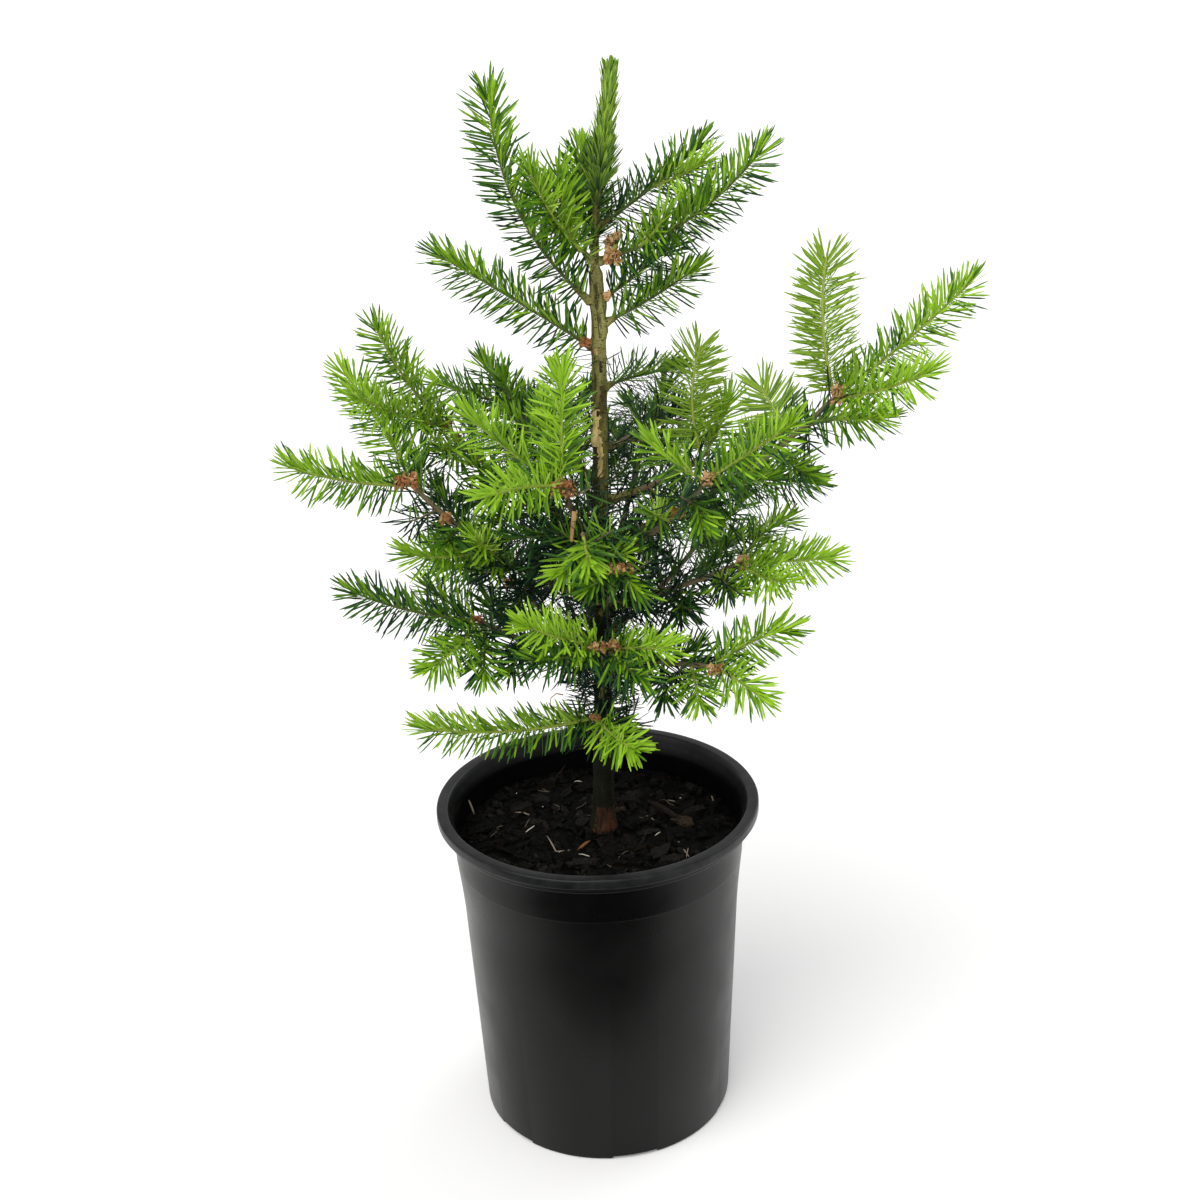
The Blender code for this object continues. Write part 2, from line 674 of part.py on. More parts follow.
class Grower:
    """Grows the needles of each core, and skips one that would touch a limb or another mass."""

    def __init__(self, space):
        self.space = space
        self.draw = random.Random(SEED)

    def fits(self, owner, start, point):
        """Whether a needle keeps its gap to other solids, and crosses nothing of its own mass."""
        away = start + (point - start) * NEEDLE_FREE_FROM
        ends = (away, point, NEEDLE_RADIUS, NEEDLE_POINT_RADIUS, owner)
        if self.space.clearance(*ends, same=False) < GAP:
            return False
        far = start + (point - start) * OWN_FREE_FROM
        ends = (far, point, NEEDLE_POINT_RADIUS, NEEDLE_POINT_RADIUS, owner)
        return self.space.clearance(*ends, same=True) > OWN_CLEARANCE

    def needle(self, bm, owner, face, heading, out, spread, length):
        """Draws one triangle of a core out to a needle's point."""
        start = face.calc_center_median() / MM
        lean = math.radians(spread + self.draw.uniform(-SPREAD_WANDER, SPREAD_WANDER))
        reach = length * self.draw.uniform(NEEDLE_SHORTEST, 1.0)
        point = start + (heading * math.cos(lean) + out * math.sin(lean)) * reach
        if not self.fits(owner, start, point):
            return
        made = bmesh.ops.poke(bm, faces=[face], offset=0.0, center_mode="MEAN")
        made["verts"][0].co = point * MM
        root = start + (point - start) * NEEDLE_TAKEN_FROM
        self.space.add(owner, root, point, NEEDLE_RADIUS, NEEDLE_POINT_RADIUS)

    def spray(self, owner, core, turn):
        """One core as a closed solid, with needles to both sides, above and below."""
        bm = bmesh.new()
        count = max(2, round(core.length() / CORE_STEP))
        rings = []
        frames = []
        for i in range(count + 1):
            t = core.start + (core.end - core.start) * i / count
            heading = core.root_heading if i == 0 and core.root_heading else core.path.heading(t)
            above = upper_side(heading, core.azimuth, core.roll + turn)
            across = heading.cross(above)
            rings.append(ring(bm, core.path.point(t), across, above, core.radius(i / count), 3))
            frames.append((heading, across, above))
        pairs = skin(bm, rings)
        bm.faces.new(rings[0])
        cap = bm.faces.new(rings[-1])
        for i in range(count):
            share = (i + 0.5) / count
            heading, across, above = frames[i + 1]
            grown = min(1.0, NEEDLE_ROOT_SHARE + share * NEEDLE_ROOT_GAIN)
            if core.pointed:
                grown *= min(1.0, TIP_NEEDLE_SHARE + (1 - share))
            right, left = pairs[3 * i], pairs[3 * i + 2]
            odd = i % 2
            ranks = [
                (right[0], 1, SIDE_LIFT, SIDE_SPREAD, 1.0),
                (left[1], -1, SIDE_LIFT, SIDE_SPREAD, 1.0),
                ((right[1], left[0])[odd], (1, -1)[odd], UPPER_LIFT, UPPER_SPREAD, UPPER_NEEDLE_SHARE),
            ]
            if odd:
                ranks.append((pairs[3 * i + 1][0], self.draw.choice((-1, 1)), LOWER_LIFT, UPPER_SPREAD, 1.0))
            for face, side, lift, spreads, size in ranks:
                turn = math.radians(lift + self.draw.uniform(-LIFT_WANDER, LIFT_WANDER))
                out = across * side * math.cos(turn) + above * math.sin(turn)
                spread = spreads[0] + (spreads[1] - spreads[0]) * share
                self.needle(bm, owner, face, heading, out, spread, NEEDLE_LENGTH * grown * size)
        if core.pointed:
            heading, across, above = frames[-1]
            self.needle(bm, owner, cap, heading, above, TIP_SPREAD, END_NEEDLE)
        return bm

    def leader(self, name, finish):
        """The leader's foliage: a thin cap over the trunk's tip, with needles close about it."""
        bm = bmesh.new()
        top = TRUNK_LINE[-1][0]
        count = round((top - LEADER_SLEEVE_BOTTOM) / LEADER_NEEDLE_STEP)
        heights = [LEADER_SLEEVE_BOTTOM + (top - LEADER_SLEEVE_BOTTOM) * i / count
                   for i in range(count + 1)]
        across, above, sides = Vector((1, 0, 0)), Vector((0, 1, 0)), LEADER_SIDES
        bore = [(trunk_radius(h) + GAP) / math.cos(math.pi / sides) for h in heights]
        outer = [ring(bm, trunk_point(h), across, above, r + LEADER_SLEEVE_WALL, sides)
                 for h, r in zip(heights, bore)]
        inner = [ring(bm, trunk_point(h), across, above, r, sides) for h, r in zip(heights, bore)]
        roof = trunk_point(top) + UP * GAP
        inner.append(ring(bm, roof, across, above, bore[-1], sides))
        outer.append(ring(bm, roof + UP * LEADER_SLEEVE_WALL, across, above, bore[-1], sides))
        pairs = skin(bm, outer)
        skin(bm, inner)
        skin(bm, [outer[0], inner[0]])
        cap = bm.faces.new(outer[-1])
        bm.faces.new(inner[-1])
        for i in range(count):
            share = i / count
            heading = (trunk_point(heights[i + 1]) - trunk_point(heights[i])).normalized()
            spread = LEADER_SPREAD[0] + (LEADER_SPREAD[1] - LEADER_SPREAD[0]) * share
            for side in range(sides):
                face = pairs[i * sides + side][(i + side) % 2]
                out = square_to(face.calc_center_median() / MM - trunk_point(heights[i]), heading)
                self.needle(bm, name, face, heading, out, spread, LEADER_NEEDLE_LENGTH)
        self.needle(bm, name, cap, UP, across, TIP_SPREAD, LEADER_TIP_NEEDLE)
        for i in range(count):
            radii = (bore[i] + LEADER_SLEEVE_WALL, bore[i + 1] + LEADER_SLEEVE_WALL)
            self.space.add(name, trunk_point(heights[i]), trunk_point(heights[i + 1]), *radii)
        sleeve = object_from(bm, name)
        sleeve.data.materials.append(finish)


def fuse(name, bodies, finish):
    """Joins the solids of one mass by a single union, and keeps the one body that results."""
    stem = object_from(bodies[0], name)
    if len(bodies) > 1:
        others = bpy.data.collections.new(name + "_shoots")
        bpy.context.scene.collection.children.link(others)
        for bm in bodies[1:]:
            piece = object_from(bm, name + "_shoot")
            bpy.context.scene.collection.objects.unlink(piece)
            others.objects.link(piece)
        union = stem.modifiers.new("union", "BOOLEAN")
        union.operation = "UNION"
        union.solver = "MANIFOLD"
        union.operand_type = "COLLECTION"
        union.collection = others
        apply_modifiers(stem)
        for piece in list(others.objects):
            bpy.data.objects.remove(piece)
        bpy.data.collections.remove(others)
        keep_largest_body(stem.data)
    stem.data.materials.clear()
    stem.data.materials.append(finish)
    return stem


def is_sound(mesh):
    """Whether every edge still has two faces once points closer than the finest step are one."""
    for step in (WELD, WELD / 10):
        labels = [tuple(round(value / step) for value in vert.co) for vert in mesh.vertices]
        shared = Counter()
        for face in mesh.polygons:
            corners = list(dict.fromkeys(labels[index] for index in face.vertices))
            if len(corners) > 2:
                shared.update(frozenset(pair) for pair in zip(corners, corners[1:] + corners[:1]))
        if any(count != 2 for count in shared.values()):
            return False
    return True


def grow_mass(name, cores, grower, finish):
    """Grows and fuses one mass, again with its cores turned a little where the union leaves a flaw."""
    taken = len(grower.space.rods)
    for attempt in range(MOST_ATTEMPTS):
        turn = attempt * ATTEMPT_TURN
        mass = fuse(name, [grower.spray(name, core, turn) for core in cores], finish)
        if is_sound(mass.data):
            return
        bpy.data.meshes.remove(mass.data)
        grower.space.release(taken)


def keep_largest_body(mesh):
    """Drops loose scraps and sealed hollows, so that one body is left."""
    bm = bmesh.new()
    bm.from_mesh(mesh)
    bmesh.ops.remove_doubles(bm, verts=bm.verts, dist=WELD)
    bmesh.ops.dissolve_degenerate(bm, edges=bm.edges, dist=WELD)
    bmesh.ops.triangulate(bm, faces=bm.faces)
    unseen = set(bm.verts)
    bodies = []
    while unseen:
        start = unseen.pop()
        body, front = {start}, [start]
        while front:
            for edge in front.pop().link_edges:
                for vert in edge.verts:
                    if vert in unseen:
                        unseen.discard(vert)
                        body.add(vert)
                        front.append(vert)
        bodies.append(body)
    largest = max(bodies, key=len)
    bmesh.ops.delete(bm, geom=[v for v in bm.verts if v not in largest], context="VERTS")
    bm.to_mesh(mesh)
    bm.free()


def build():
    """Builds the whole plant in its pot."""
    for obj in list(bpy.data.objects):
        bpy.data.objects.remove(obj)
    plastic = material("black_plastic", (0.012, 0.013, 0.013), 0.45)
    mix = material("bark_mix", (0.018, 0.012, 0.008), 0.95)
    bark = material("grey_brown_bark", (0.14, 0.11, 0.07), 0.85)
    green = material("fir_green", (0.08, 0.2, 0.03), 0.5)
    space = Space()
    make_pot(plastic)
    make_soil(mix)
    make_trunk(space, bark)

    masses = []
    for bough in LIMBED_BOUGHS:
        path = bough_path(bough)
        limb = replace(bough, name="bough_" + bough.name)
        make_limb(limb, path, LIMB_BASE_RADIUS, LIMB_TIP_RADIUS, space, bark)
        masses.append(("foliage_" + bough.name, bough, path))
    make_limb(DEAD_TWIG, bough_path(DEAD_TWIG), DEAD_TWIG_BASE_RADIUS, DEAD_TWIG_TIP_RADIUS, space, bark)
    masses += [("foliage_" + bough.name, bough, bough_path(bough)) for bough in TRUNK_SHOOTS]

    plans = [(name, plan_mass(name, bough, path, space)) for name, bough, path in masses]
    grower = Grower(space)
    grower.leader("foliage_leader", green)
    for name, cores in plans:
        grow_mass(name, cores, grower, green)


build()
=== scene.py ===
"""A young balsam fir in its black nursery pot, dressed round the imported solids.

The crown grows from the same boughs and shoots as the solids do, carried on to real needles.
Lengths are in millimetres and become metres where a mesh is made.
"""

import logging
import math
import random
from dataclasses import dataclass, field, replace
from enum import Enum
from typing import Callable, Iterable, Sequence

import bmesh
import bpy
import numpy as np
from mathutils import Matrix, Vector, noise


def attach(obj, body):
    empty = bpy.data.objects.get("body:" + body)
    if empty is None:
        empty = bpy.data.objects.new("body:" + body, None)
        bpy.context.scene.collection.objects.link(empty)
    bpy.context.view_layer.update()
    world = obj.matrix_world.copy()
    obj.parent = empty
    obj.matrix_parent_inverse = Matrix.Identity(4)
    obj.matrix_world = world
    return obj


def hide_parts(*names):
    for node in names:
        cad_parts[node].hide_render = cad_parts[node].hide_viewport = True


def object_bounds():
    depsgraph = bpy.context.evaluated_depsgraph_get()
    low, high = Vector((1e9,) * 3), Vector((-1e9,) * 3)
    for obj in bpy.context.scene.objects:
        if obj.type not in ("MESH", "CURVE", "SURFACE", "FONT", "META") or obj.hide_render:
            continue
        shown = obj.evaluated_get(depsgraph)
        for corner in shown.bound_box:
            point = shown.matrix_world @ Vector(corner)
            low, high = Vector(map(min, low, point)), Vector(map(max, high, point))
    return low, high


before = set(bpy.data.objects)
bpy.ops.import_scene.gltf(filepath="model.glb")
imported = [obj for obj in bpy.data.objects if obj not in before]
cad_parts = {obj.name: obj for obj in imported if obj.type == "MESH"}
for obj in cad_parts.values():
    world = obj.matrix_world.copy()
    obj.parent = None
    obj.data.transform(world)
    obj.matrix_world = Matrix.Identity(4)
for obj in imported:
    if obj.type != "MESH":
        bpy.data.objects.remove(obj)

MM = 0.001
GAP = 0.3
SEED = 20
UP = Vector((0.0, 0.0, 1.0))
LIGHT_SIDE = Vector((0.0, -0.9, 0.0))
CAD_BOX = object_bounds()
NODES = sorted(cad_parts)
log = logging.getLogger("fir")


class Tone(Enum):
    """The greens that needles come in, from fresh growth to old shaded growth; the deep and shade tones are partly the
    needles' own darker green and partly painted shade.
    """

    LIME = "lime"
    BRIGHT = "bright"
    FRESH = "fresh"
    MID = "mid"
    DEEP = "deep"
    SHADE = "shade"
    PALE = "pale"


def direction(azimuth: float, rise: float) -> Vector:
    """Gives a unit vector.

    Args:
        azimuth: The angle from +X, in degrees.
        rise: The angle above level, in degrees.

    Returns:
        The vector.
    """
    turn = math.radians(azimuth)
    lift = math.radians(rise)
    return Vector((math.cos(turn) * math.cos(lift), math.sin(turn) * math.cos(lift), math.sin(lift)))


def square_to(vector: Vector, axis: Vector) -> Vector:
    """Gives the part of a vector that stands square to an axis, made one long."""
    return (vector - axis * vector.dot(axis)).normalized()


def unit_rows(rows: np.ndarray) -> np.ndarray:
    """Gives each row of an array made one long."""
    return rows / np.maximum(np.linalg.norm(rows, axis=1, keepdims=True), 1e-9)


@dataclass(frozen=True)
class Shoot:
    """A side shoot of a bough."""

    azimuth: float
    rise: float
    length: float
    along: float = 1.0
    bend: float = 0.05
    roll: float = 0.0
    tone: Tone = Tone.FRESH


@dataclass(frozen=True)
class Bough:
    """A bough from the trunk to its end bud, bare bark for its first share."""

    name: str
    height: float
    azimuth: float
    rise: float
    length: float
    limb: float = 0.0
    bend: float = 0.05
    roll: float = 0.0
    tone: Tone = Tone.DEEP
    shoots: tuple[Shoot, ...] = ()


LIMBED_BOUGHS = (
    Bough("bottom", 50, -98, 50, 33, limb=0.5, shoots=(
        Shoot(-162, 8, 93, bend=0.055, roll=25, tone=Tone.BRIGHT),
        Shoot(-59, -3, 43, tone=Tone.LIME),
    )),
    Bough("front_low", 77, -89, 50, 57, limb=0.3, shoots=(
        Shoot(-29, 10, 42, tone=Tone.LIME),
        Shoot(-50, -16, 36, tone=Tone.MID),
        Shoot(-154, 28, 52, tone=Tone.LIME),
        Shoot(-150, 6, 47, bend=0.05, tone=Tone.MID),
    )),
    Bough("left_low", 97, -161, 27, 66, limb=0.25, shoots=(
        Shoot(-167, 22, 70, tone=Tone.MID),
        Shoot(157, 31, 37, tone=Tone.FRESH),
        Shoot(-123, -10, 49, tone=Tone.BRIGHT),
        Shoot(-91, -30, 38, along=0.95, tone=Tone.FRESH),
        Shoot(128, 37, 30, along=0.7, tone=Tone.MID),
        Shoot(-109, -11, 32, along=0.6, tone=Tone.MID),
    )),
    Bough("right_bottom", 97, -42, 10, 66, limb=0.3, bend=0.0, shoots=(
        Shoot(2, 23, 48, bend=-0.075, tone=Tone.BRIGHT),
        Shoot(-43, -18, 37, bend=-0.06, tone=Tone.LIME),
        Shoot(-83, -23, 31, along=0.8, tone=Tone.BRIGHT),
        Shoot(11, 28, 22, along=0.6, tone=Tone.MID),
        Shoot(-92, -32, 28, along=0.55, tone=Tone.MID),
    )),
    Bough("front_middle", 121, -79, 48, 50, limb=0.35, shoots=(
        Shoot(-45, -33, 24, tone=Tone.FRESH),
        Shoot(-134, -11, 28, tone=Tone.FRESH),
    )),
    Bough("right_low", 126, -15, 20, 69, limb=0.25, bend=0.04, shoots=(
        Shoot(36, 22, 41, bend=-0.12, tone=Tone.FRESH),
        Shoot(-8, 4, 51, bend=0.0, tone=Tone.LIME),
        Shoot(-54, 2, 40, tone=Tone.LIME),
        Shoot(-69, 0, 29, along=0.8, tone=Tone.BRIGHT),
        Shoot(46, 29, 35, along=0.65, tone=Tone.MID),
        Shoot(-88, -23, 24, along=0.55, tone=Tone.MID),
    )),
    Bough("left_far", 126, -176, 38, 109, limb=0.25, bend=0.06, shoots=(
        Shoot(-159, 9, 47, along=0.53, bend=0.09, tone=Tone.BRIGHT),
        Shoot(137, 42, 39, along=0.62, tone=Tone.MID),
        Shoot(148, 54, 68, bend=-0.06, tone=Tone.BRIGHT),
        Shoot(-162, 18, 68, tone=Tone.BRIGHT),
        Shoot(93, 36, 28, along=0.93, tone=Tone.FRESH),
        Shoot(-104, -5, 26, along=0.72, tone=Tone.FRESH),
        Shoot(-123, 40, 45, along=0.42, tone=Tone.LIME),
    )),
    Bough("front", 145, -102, 39, 47, limb=0.3, shoots=(
        Shoot(-82, -25, 26, tone=Tone.BRIGHT),
        Shoot(-146, -31, 26, along=0.8, tone=Tone.BRIGHT),
        Shoot(-33, 5, 28, along=0.7, tone=Tone.BRIGHT),
    )),
    Bough("front_left", 154, -120, 54, 53, limb=0.35, shoots=(
        Shoot(76, 80, 59, bend=0.0, tone=Tone.LIME),
        Shoot(106, 50, 48, tone=Tone.BRIGHT),
        Shoot(158, 36, 66, along=0.9, bend=0.02, tone=Tone.BRIGHT),
        Shoot(-141, 5, 51, bend=-0.05, tone=Tone.LIME),
    )),
    Bough("front_right", 149, -41, 40, 79, limb=0.25, shoots=(
        Shoot(-21, 36, 57, bend=0.0, tone=Tone.BRIGHT),
        Shoot(157, 34, 38, tone=Tone.BRIGHT),
        Shoot(0, 6, 38, along=0.95, tone=Tone.FRESH),
        Shoot(-75, -35, 24, along=0.85, tone=Tone.FRESH),
        Shoot(-113, 30, 30, along=0.6, tone=Tone.BRIGHT),
    )),
    Bough("left_high", 157, 153, 32, 94, limb=0.2, shoots=(
        Shoot(-136, 57, 76, tone=Tone.BRIGHT),
        Shoot(-126, 27, 79, bend=0.025, tone=Tone.LIME),
        Shoot(-115, 14, 30, along=0.86, tone=Tone.BRIGHT),
        Shoot(93, 29, 44, along=0.8, tone=Tone.FRESH),
        Shoot(-163, -11, 27, along=0.55, tone=Tone.FRESH),
        Shoot(86, 30, 40, along=0.5, tone=Tone.FRESH),
    )),
    Bough("right_far", 157, -8, 34, 131, limb=0.2, bend=0.06, shoots=(
        Shoot(130, 44, 36, along=0.78, roll=180, tone=Tone.BRIGHT),
        Shoot(-24, 6, 41, along=0.86, bend=0.0, tone=Tone.BRIGHT),
        Shoot(165, 87, 71, bend=0.06, roll=180, tone=Tone.PALE),
        Shoot(2, 40, 87, bend=0.02, tone=Tone.BRIGHT),
        Shoot(-38, 23, 58, tone=Tone.LIME),
        Shoot(-39, -19, 30, along=0.7, tone=Tone.FRESH),
        Shoot(71, 24, 40, along=0.55, tone=Tone.MID),
        Shoot(-95, -20, 24, along=0.45, tone=Tone.FRESH),
    )),
    Bough("right_middle", 177, 11, 21, 52, limb=0.3, shoots=(
        Shoot(-5, 88, 60, along=0.95, bend=-0.09, roll=180, tone=Tone.PALE),
        Shoot(8, 67, 37, tone=Tone.LIME),
        Shoot(1, -12, 66, along=0.9, tone=Tone.MID),
        Shoot(24, -60, 22, along=0.7, tone=Tone.DEEP),
    )),
    Bough("back_left", 187, 125, 20, 82, limb=0.2, bend=0.06, shoots=(
        Shoot(153, 56, 26, tone=Tone.FRESH),
        Shoot(165, 15, 48, along=0.9, tone=Tone.FRESH),
        Shoot(94, 15, 40, along=0.7, tone=Tone.FRESH),
        Shoot(170, 10, 30, along=0.5, tone=Tone.FRESH),
    )),
    Bough("back_right", 202, 59, 0, 52, limb=0.25, bend=0.03, shoots=(
        Shoot(45, 5, 36, tone=Tone.MID),
        Shoot(68, 39, 30, tone=Tone.MID),
        Shoot(102, 8, 42, along=0.8, tone=Tone.MID),
    )),
    Bough("back_low", 84, 97, 24, 66, limb=0.25, shoots=(
        Shoot(56, 14, 44, tone=Tone.FRESH),
        Shoot(96, 26, 50, tone=Tone.FRESH),
        Shoot(134, 14, 42, tone=Tone.FRESH),
    )),
    Bough("back_right_low", 108, 42, 24, 68, limb=0.25, shoots=(
        Shoot(104, 34, 34, along=0.6, tone=Tone.DEEP),
        Shoot(8, 12, 40, tone=Tone.FRESH),
        Shoot(42, 26, 50, tone=Tone.FRESH),
        Shoot(78, 16, 42, tone=Tone.FRESH),
    )),
    Bough("back_left_low", 104, 146, 24, 66, limb=0.25, shoots=(
        Shoot(84, 34, 34, along=0.6, tone=Tone.DEEP),
        Shoot(108, 14, 42, tone=Tone.FRESH),
        Shoot(146, 24, 44, tone=Tone.FRESH),
        Shoot(180, 12, 36, tone=Tone.FRESH),
    )),
    Bough("back_middle", 138, 72, 30, 72, limb=0.2, shoots=(
        Shoot(36, 16, 44, tone=Tone.MID),
        Shoot(72, 30, 50, tone=Tone.FRESH),
        Shoot(108, 20, 42, tone=Tone.MID),
    )),
    Bough("back_high", 165, 104, 32, 68, limb=0.2, shoots=(
        Shoot(66, 18, 40, tone=Tone.MID),
        Shoot(100, 34, 42, tone=Tone.FRESH),
        Shoot(148, 24, 36, along=0.85, tone=Tone.MID),
    )),
)

TRUNK_SHOOTS = (
    Bough("middle_right", 232, 40, -2, 54, bend=-0.04, tone=Tone.MID),
    Bough("upper_left", 252, -176, 34, 88, bend=-0.005, tone=Tone.FRESH),
    Bough("upper_right", 263, 1, 30, 54, bend=0.03, tone=Tone.FRESH),
    Bough("upper_right_back", 274, 19, 32, 48, bend=0.02, tone=Tone.MID),
    Bough("top_left", 273, -168, 68, 110, bend=0.115, tone=Tone.FRESH),
    Bough("top_front", 292, -131, 51, 67, bend=0.07, tone=Tone.BRIGHT),
    Bough("top_right_long", 291, -13, 35, 95, bend=0.085, tone=Tone.FRESH),
    Bough("top_back", 297, 95, 59, 55, tone=Tone.BRIGHT),
    Bough("top_right", 307, 17, 34, 66, bend=0.03, tone=Tone.MID, shoots=(
        Shoot(-20, 28, 34, along=0.45, tone=Tone.LIME),
    )),
)

# Finer twigs: the bough or shoot that each grows on, and the twig.
FINER_TWIGS = (
    ("top_front", Shoot(-127, 78, 38, along=0.25, tone=Tone.BRIGHT)),
    ("top_front", Shoot(-167, 66, 22, along=0.45, tone=Tone.FRESH)),
    ("top_front", Shoot(-146, 45, 26, along=0.12, tone=Tone.BRIGHT)),
    ("top_back", Shoot(180, 84, 33, along=0.3, tone=Tone.FRESH)),
    ("top_back", Shoot(-142, 60, 27, along=0.2, tone=Tone.MID)),
    ("top_right_long", Shoot(-52, 44, 30, along=0.2, tone=Tone.BRIGHT)),
    ("top_right_long", Shoot(12, 50, 30, along=0.38, tone=Tone.BRIGHT)),
    ("front_left", Shoot(-174, -4, 42, along=0.42, tone=Tone.DEEP)),
    ("front_left", Shoot(-160, -24, 36, along=0.3, tone=Tone.SHADE)),
    ("left_far", Shoot(-118, -26, 34, along=0.3, tone=Tone.SHADE)),
    ("left_far", Shoot(-112, 30, 30, along=0.34, tone=Tone.DEEP)),
    ("left_high", Shoot(-140, 6, 40, along=0.3, tone=Tone.MID)),
    ("left_high", Shoot(-170, 40, 36, along=0.45, tone=Tone.FRESH)),
    ("back_left", Shoot(-176, 44, 34, along=0.45, tone=Tone.FRESH)),
    ("back_left", Shoot(178, 66, 30, along=0.75, tone=Tone.FRESH)),
)

DEAD_TWIG = Bough("dead_twig", 88, 22, 34, 55, limb=1.0)


class Path:
    """A smooth curve from a start to an end whose middle hangs below the straight line."""

    def __init__(self, start: Vector, azimuth: float, rise: float, length: float, bend: float) -> None:
        """Lays the curve.

        Args:
            start: Where it starts.
            azimuth: The heading of its straight line from +X, in degrees.
            rise: The rise of its straight line above level, in degrees.
            length: The length of its straight line.
            bend: How far its middle hangs, as a share of the length.
        """
        heading = direction(azimuth, rise)
        below = -square_to(UP, heading)
        self.start = start
        self.end = start + heading * length
        self.middle = (self.start + self.end) / 2 + below * (2 * bend * length)
        self.length = length

    def point(self, t: float) -> Vector:
        """Gives the point at a share of the way."""
        return self.start * (1 - t) ** 2 + self.middle * (2 * t * (1 - t)) + self.end * t ** 2

    def heading(self, t: float) -> Vector:
        """Gives the direction of travel at a share of the way."""
        return ((self.middle - self.start) * (1 - t) + (self.end - self.middle) * t).normalized()


@dataclass(frozen=True)
class Stem:
    """The trunk's line and girth, from its flat foot on the mix to its tip."""

    mix_level: float = 158.0
    line: tuple[tuple[float, float], ...] = (
        (0.0, 2.6), (95.0, 5.6), (200.0, 7.8), (272.0, 9.4), (296.0, 7.9), (320.0, 10.6), (371.0, 18.0),
    )
    whorl: float = 285.0
    leader_base: float = 288.0
    radii: tuple[float, ...] = (4.4, 3.2, 2.1, 0.8)
    flare: float = 1.8
    flare_height: float = 9.0
    easing: float = 12.0

    @property
    def top(self) -> float:
        """Gives the height of the tip above the mix."""
        return self.line[-1][0]

    def centre(self, height: float) -> Vector:
        """Gives the axis at a height above the mix."""
        heights, offsets = zip(*self.line)
        samples = np.linspace(height - self.easing, height + self.easing, 7)
        offset = float(np.mean(np.interp(samples, heights, offsets)))
        return Vector((offset, 0.0, self.mix_level + height))

    def radius(self, height: float) -> float:
        """Gives the radius at a height above the mix."""
        heights = (0.0, self.whorl, self.leader_base, self.top)
        return float(np.interp(height, heights, self.radii)) + self.flare * math.exp(-height / self.flare_height)

    def bough_path(self, bough: Bough) -> Path:
        """Gives a bough's curve, from a gap clear of the bark to its end bud."""
        start = self.centre(bough.height) + direction(bough.azimuth, 0) * (self.radius(bough.height) + GAP)
        return Path(start, bough.azimuth, bough.rise, bough.length, bough.bend)


@dataclass(frozen=True)
class Stretch:
    """The stretch of a path that one twig follows, with what grows on it."""

    path: Path
    azimuth: float
    roll: float
    tone: Tone
    start: float = 0.0
    end: float = 1.0
    pointed: bool = True
    old: bool = False

    @property
    def length(self) -> float:
        """Gives the length along the path."""
        return self.path.length * (self.end - self.start)

    def at(self, share: float) -> float:
        """Gives the path's own share at a share of this stretch."""
        return self.start + (self.end - self.start) * share

    def upper_side(self, heading: Vector) -> Vector:
        """Gives where the upper side faces: up, in to the trunk and to the light, then rolled."""
        above = square_to(UP - direction(self.azimuth, 0) * 0.3 + LIGHT_SIDE, heading)
        turn = math.radians(self.roll)
        return above * math.cos(turn) + heading.cross(above) * math.sin(turn)


class Gathered:
    """Many small shapes gathered into one mesh."""

    def __init__(self) -> None:
        """Starts with nothing gathered."""
        self.points: list[np.ndarray] = []
        self.faces: list[list[int]] = []
        self.slots: list[int] = []
        self.count = 0

    def add(self, points: np.ndarray, faces: Sequence[Sequence[int]], slots: Sequence[int] | None = None) -> None:
        """Takes in one shape.

        Args:
            points: Its points, one row each, in millimetres.
            faces: Its faces, as indices of its points.
            slots: Each face's material slot, or none for the first slot.
        """
        shift = self.count
        self.faces.extend([index + shift for index in face] for face in faces)
        self.slots.extend(slots if slots is not None else [0] * len(faces))
        self.points.append(points)
        self.count += len(points)

    def add_bmesh(self, bm: bmesh.types.BMesh, slot: int = 0) -> None:
        """Takes in a bmesh, and frees it."""
        bmesh.ops.recalc_face_normals(bm, faces=bm.faces)
        if bm.calc_volume(signed=True) < 0:
            bmesh.ops.reverse_faces(bm, faces=bm.faces)
        bm.verts.index_update()
        points = np.array([vert.co for vert in bm.verts])
        self.add(points, [[vert.index for vert in face.verts] for face in bm.faces], [slot] * len(bm.faces))
        bm.free()

    def piece(self, name: str, finishes: Iterable[bpy.types.Material], smooth: float | None = None) -> bpy.types.Object:
        """Makes the object.

        Args:
            name: Its name.
            finishes: Its materials, in the order of their slots.
            smooth: The angle in degrees past which an edge stays sharp, or none for flat faces.

        Returns:
            The object, in the scene.
        """
        mesh = bpy.data.meshes.new(name)
        mesh.from_pydata((np.concatenate(self.points) * MM).tolist(), [], self.faces)
        for finish in finishes:
            mesh.materials.append(finish)
        mesh.polygons.foreach_set("material_index", np.array(self.slots, np.int32))
        if smooth is None:
            mesh.shade_flat()
        else:
            mesh.shade_smooth()
            mesh.set_sharp_from_angle(angle=math.radians(smooth))
        mesh.update()
        made = bpy.data.objects.new(name, mesh)
        bpy.context.scene.collection.objects.link(made)
        return made


def settle(piece: bpy.types.Object, nodes: Sequence[str]) -> bpy.types.Object:
    """Makes a piece ride on the plant's one body, and stand for its solids.

    Args:
        piece: The finished object.
        nodes: The solids that it stands for.

    Returns:
        The same object.
    """
    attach(piece, "root")
    if nodes:
        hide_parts(*nodes)
    log.info("%s: %d faces", piece.name, len(piece.data.polygons))
    return piece


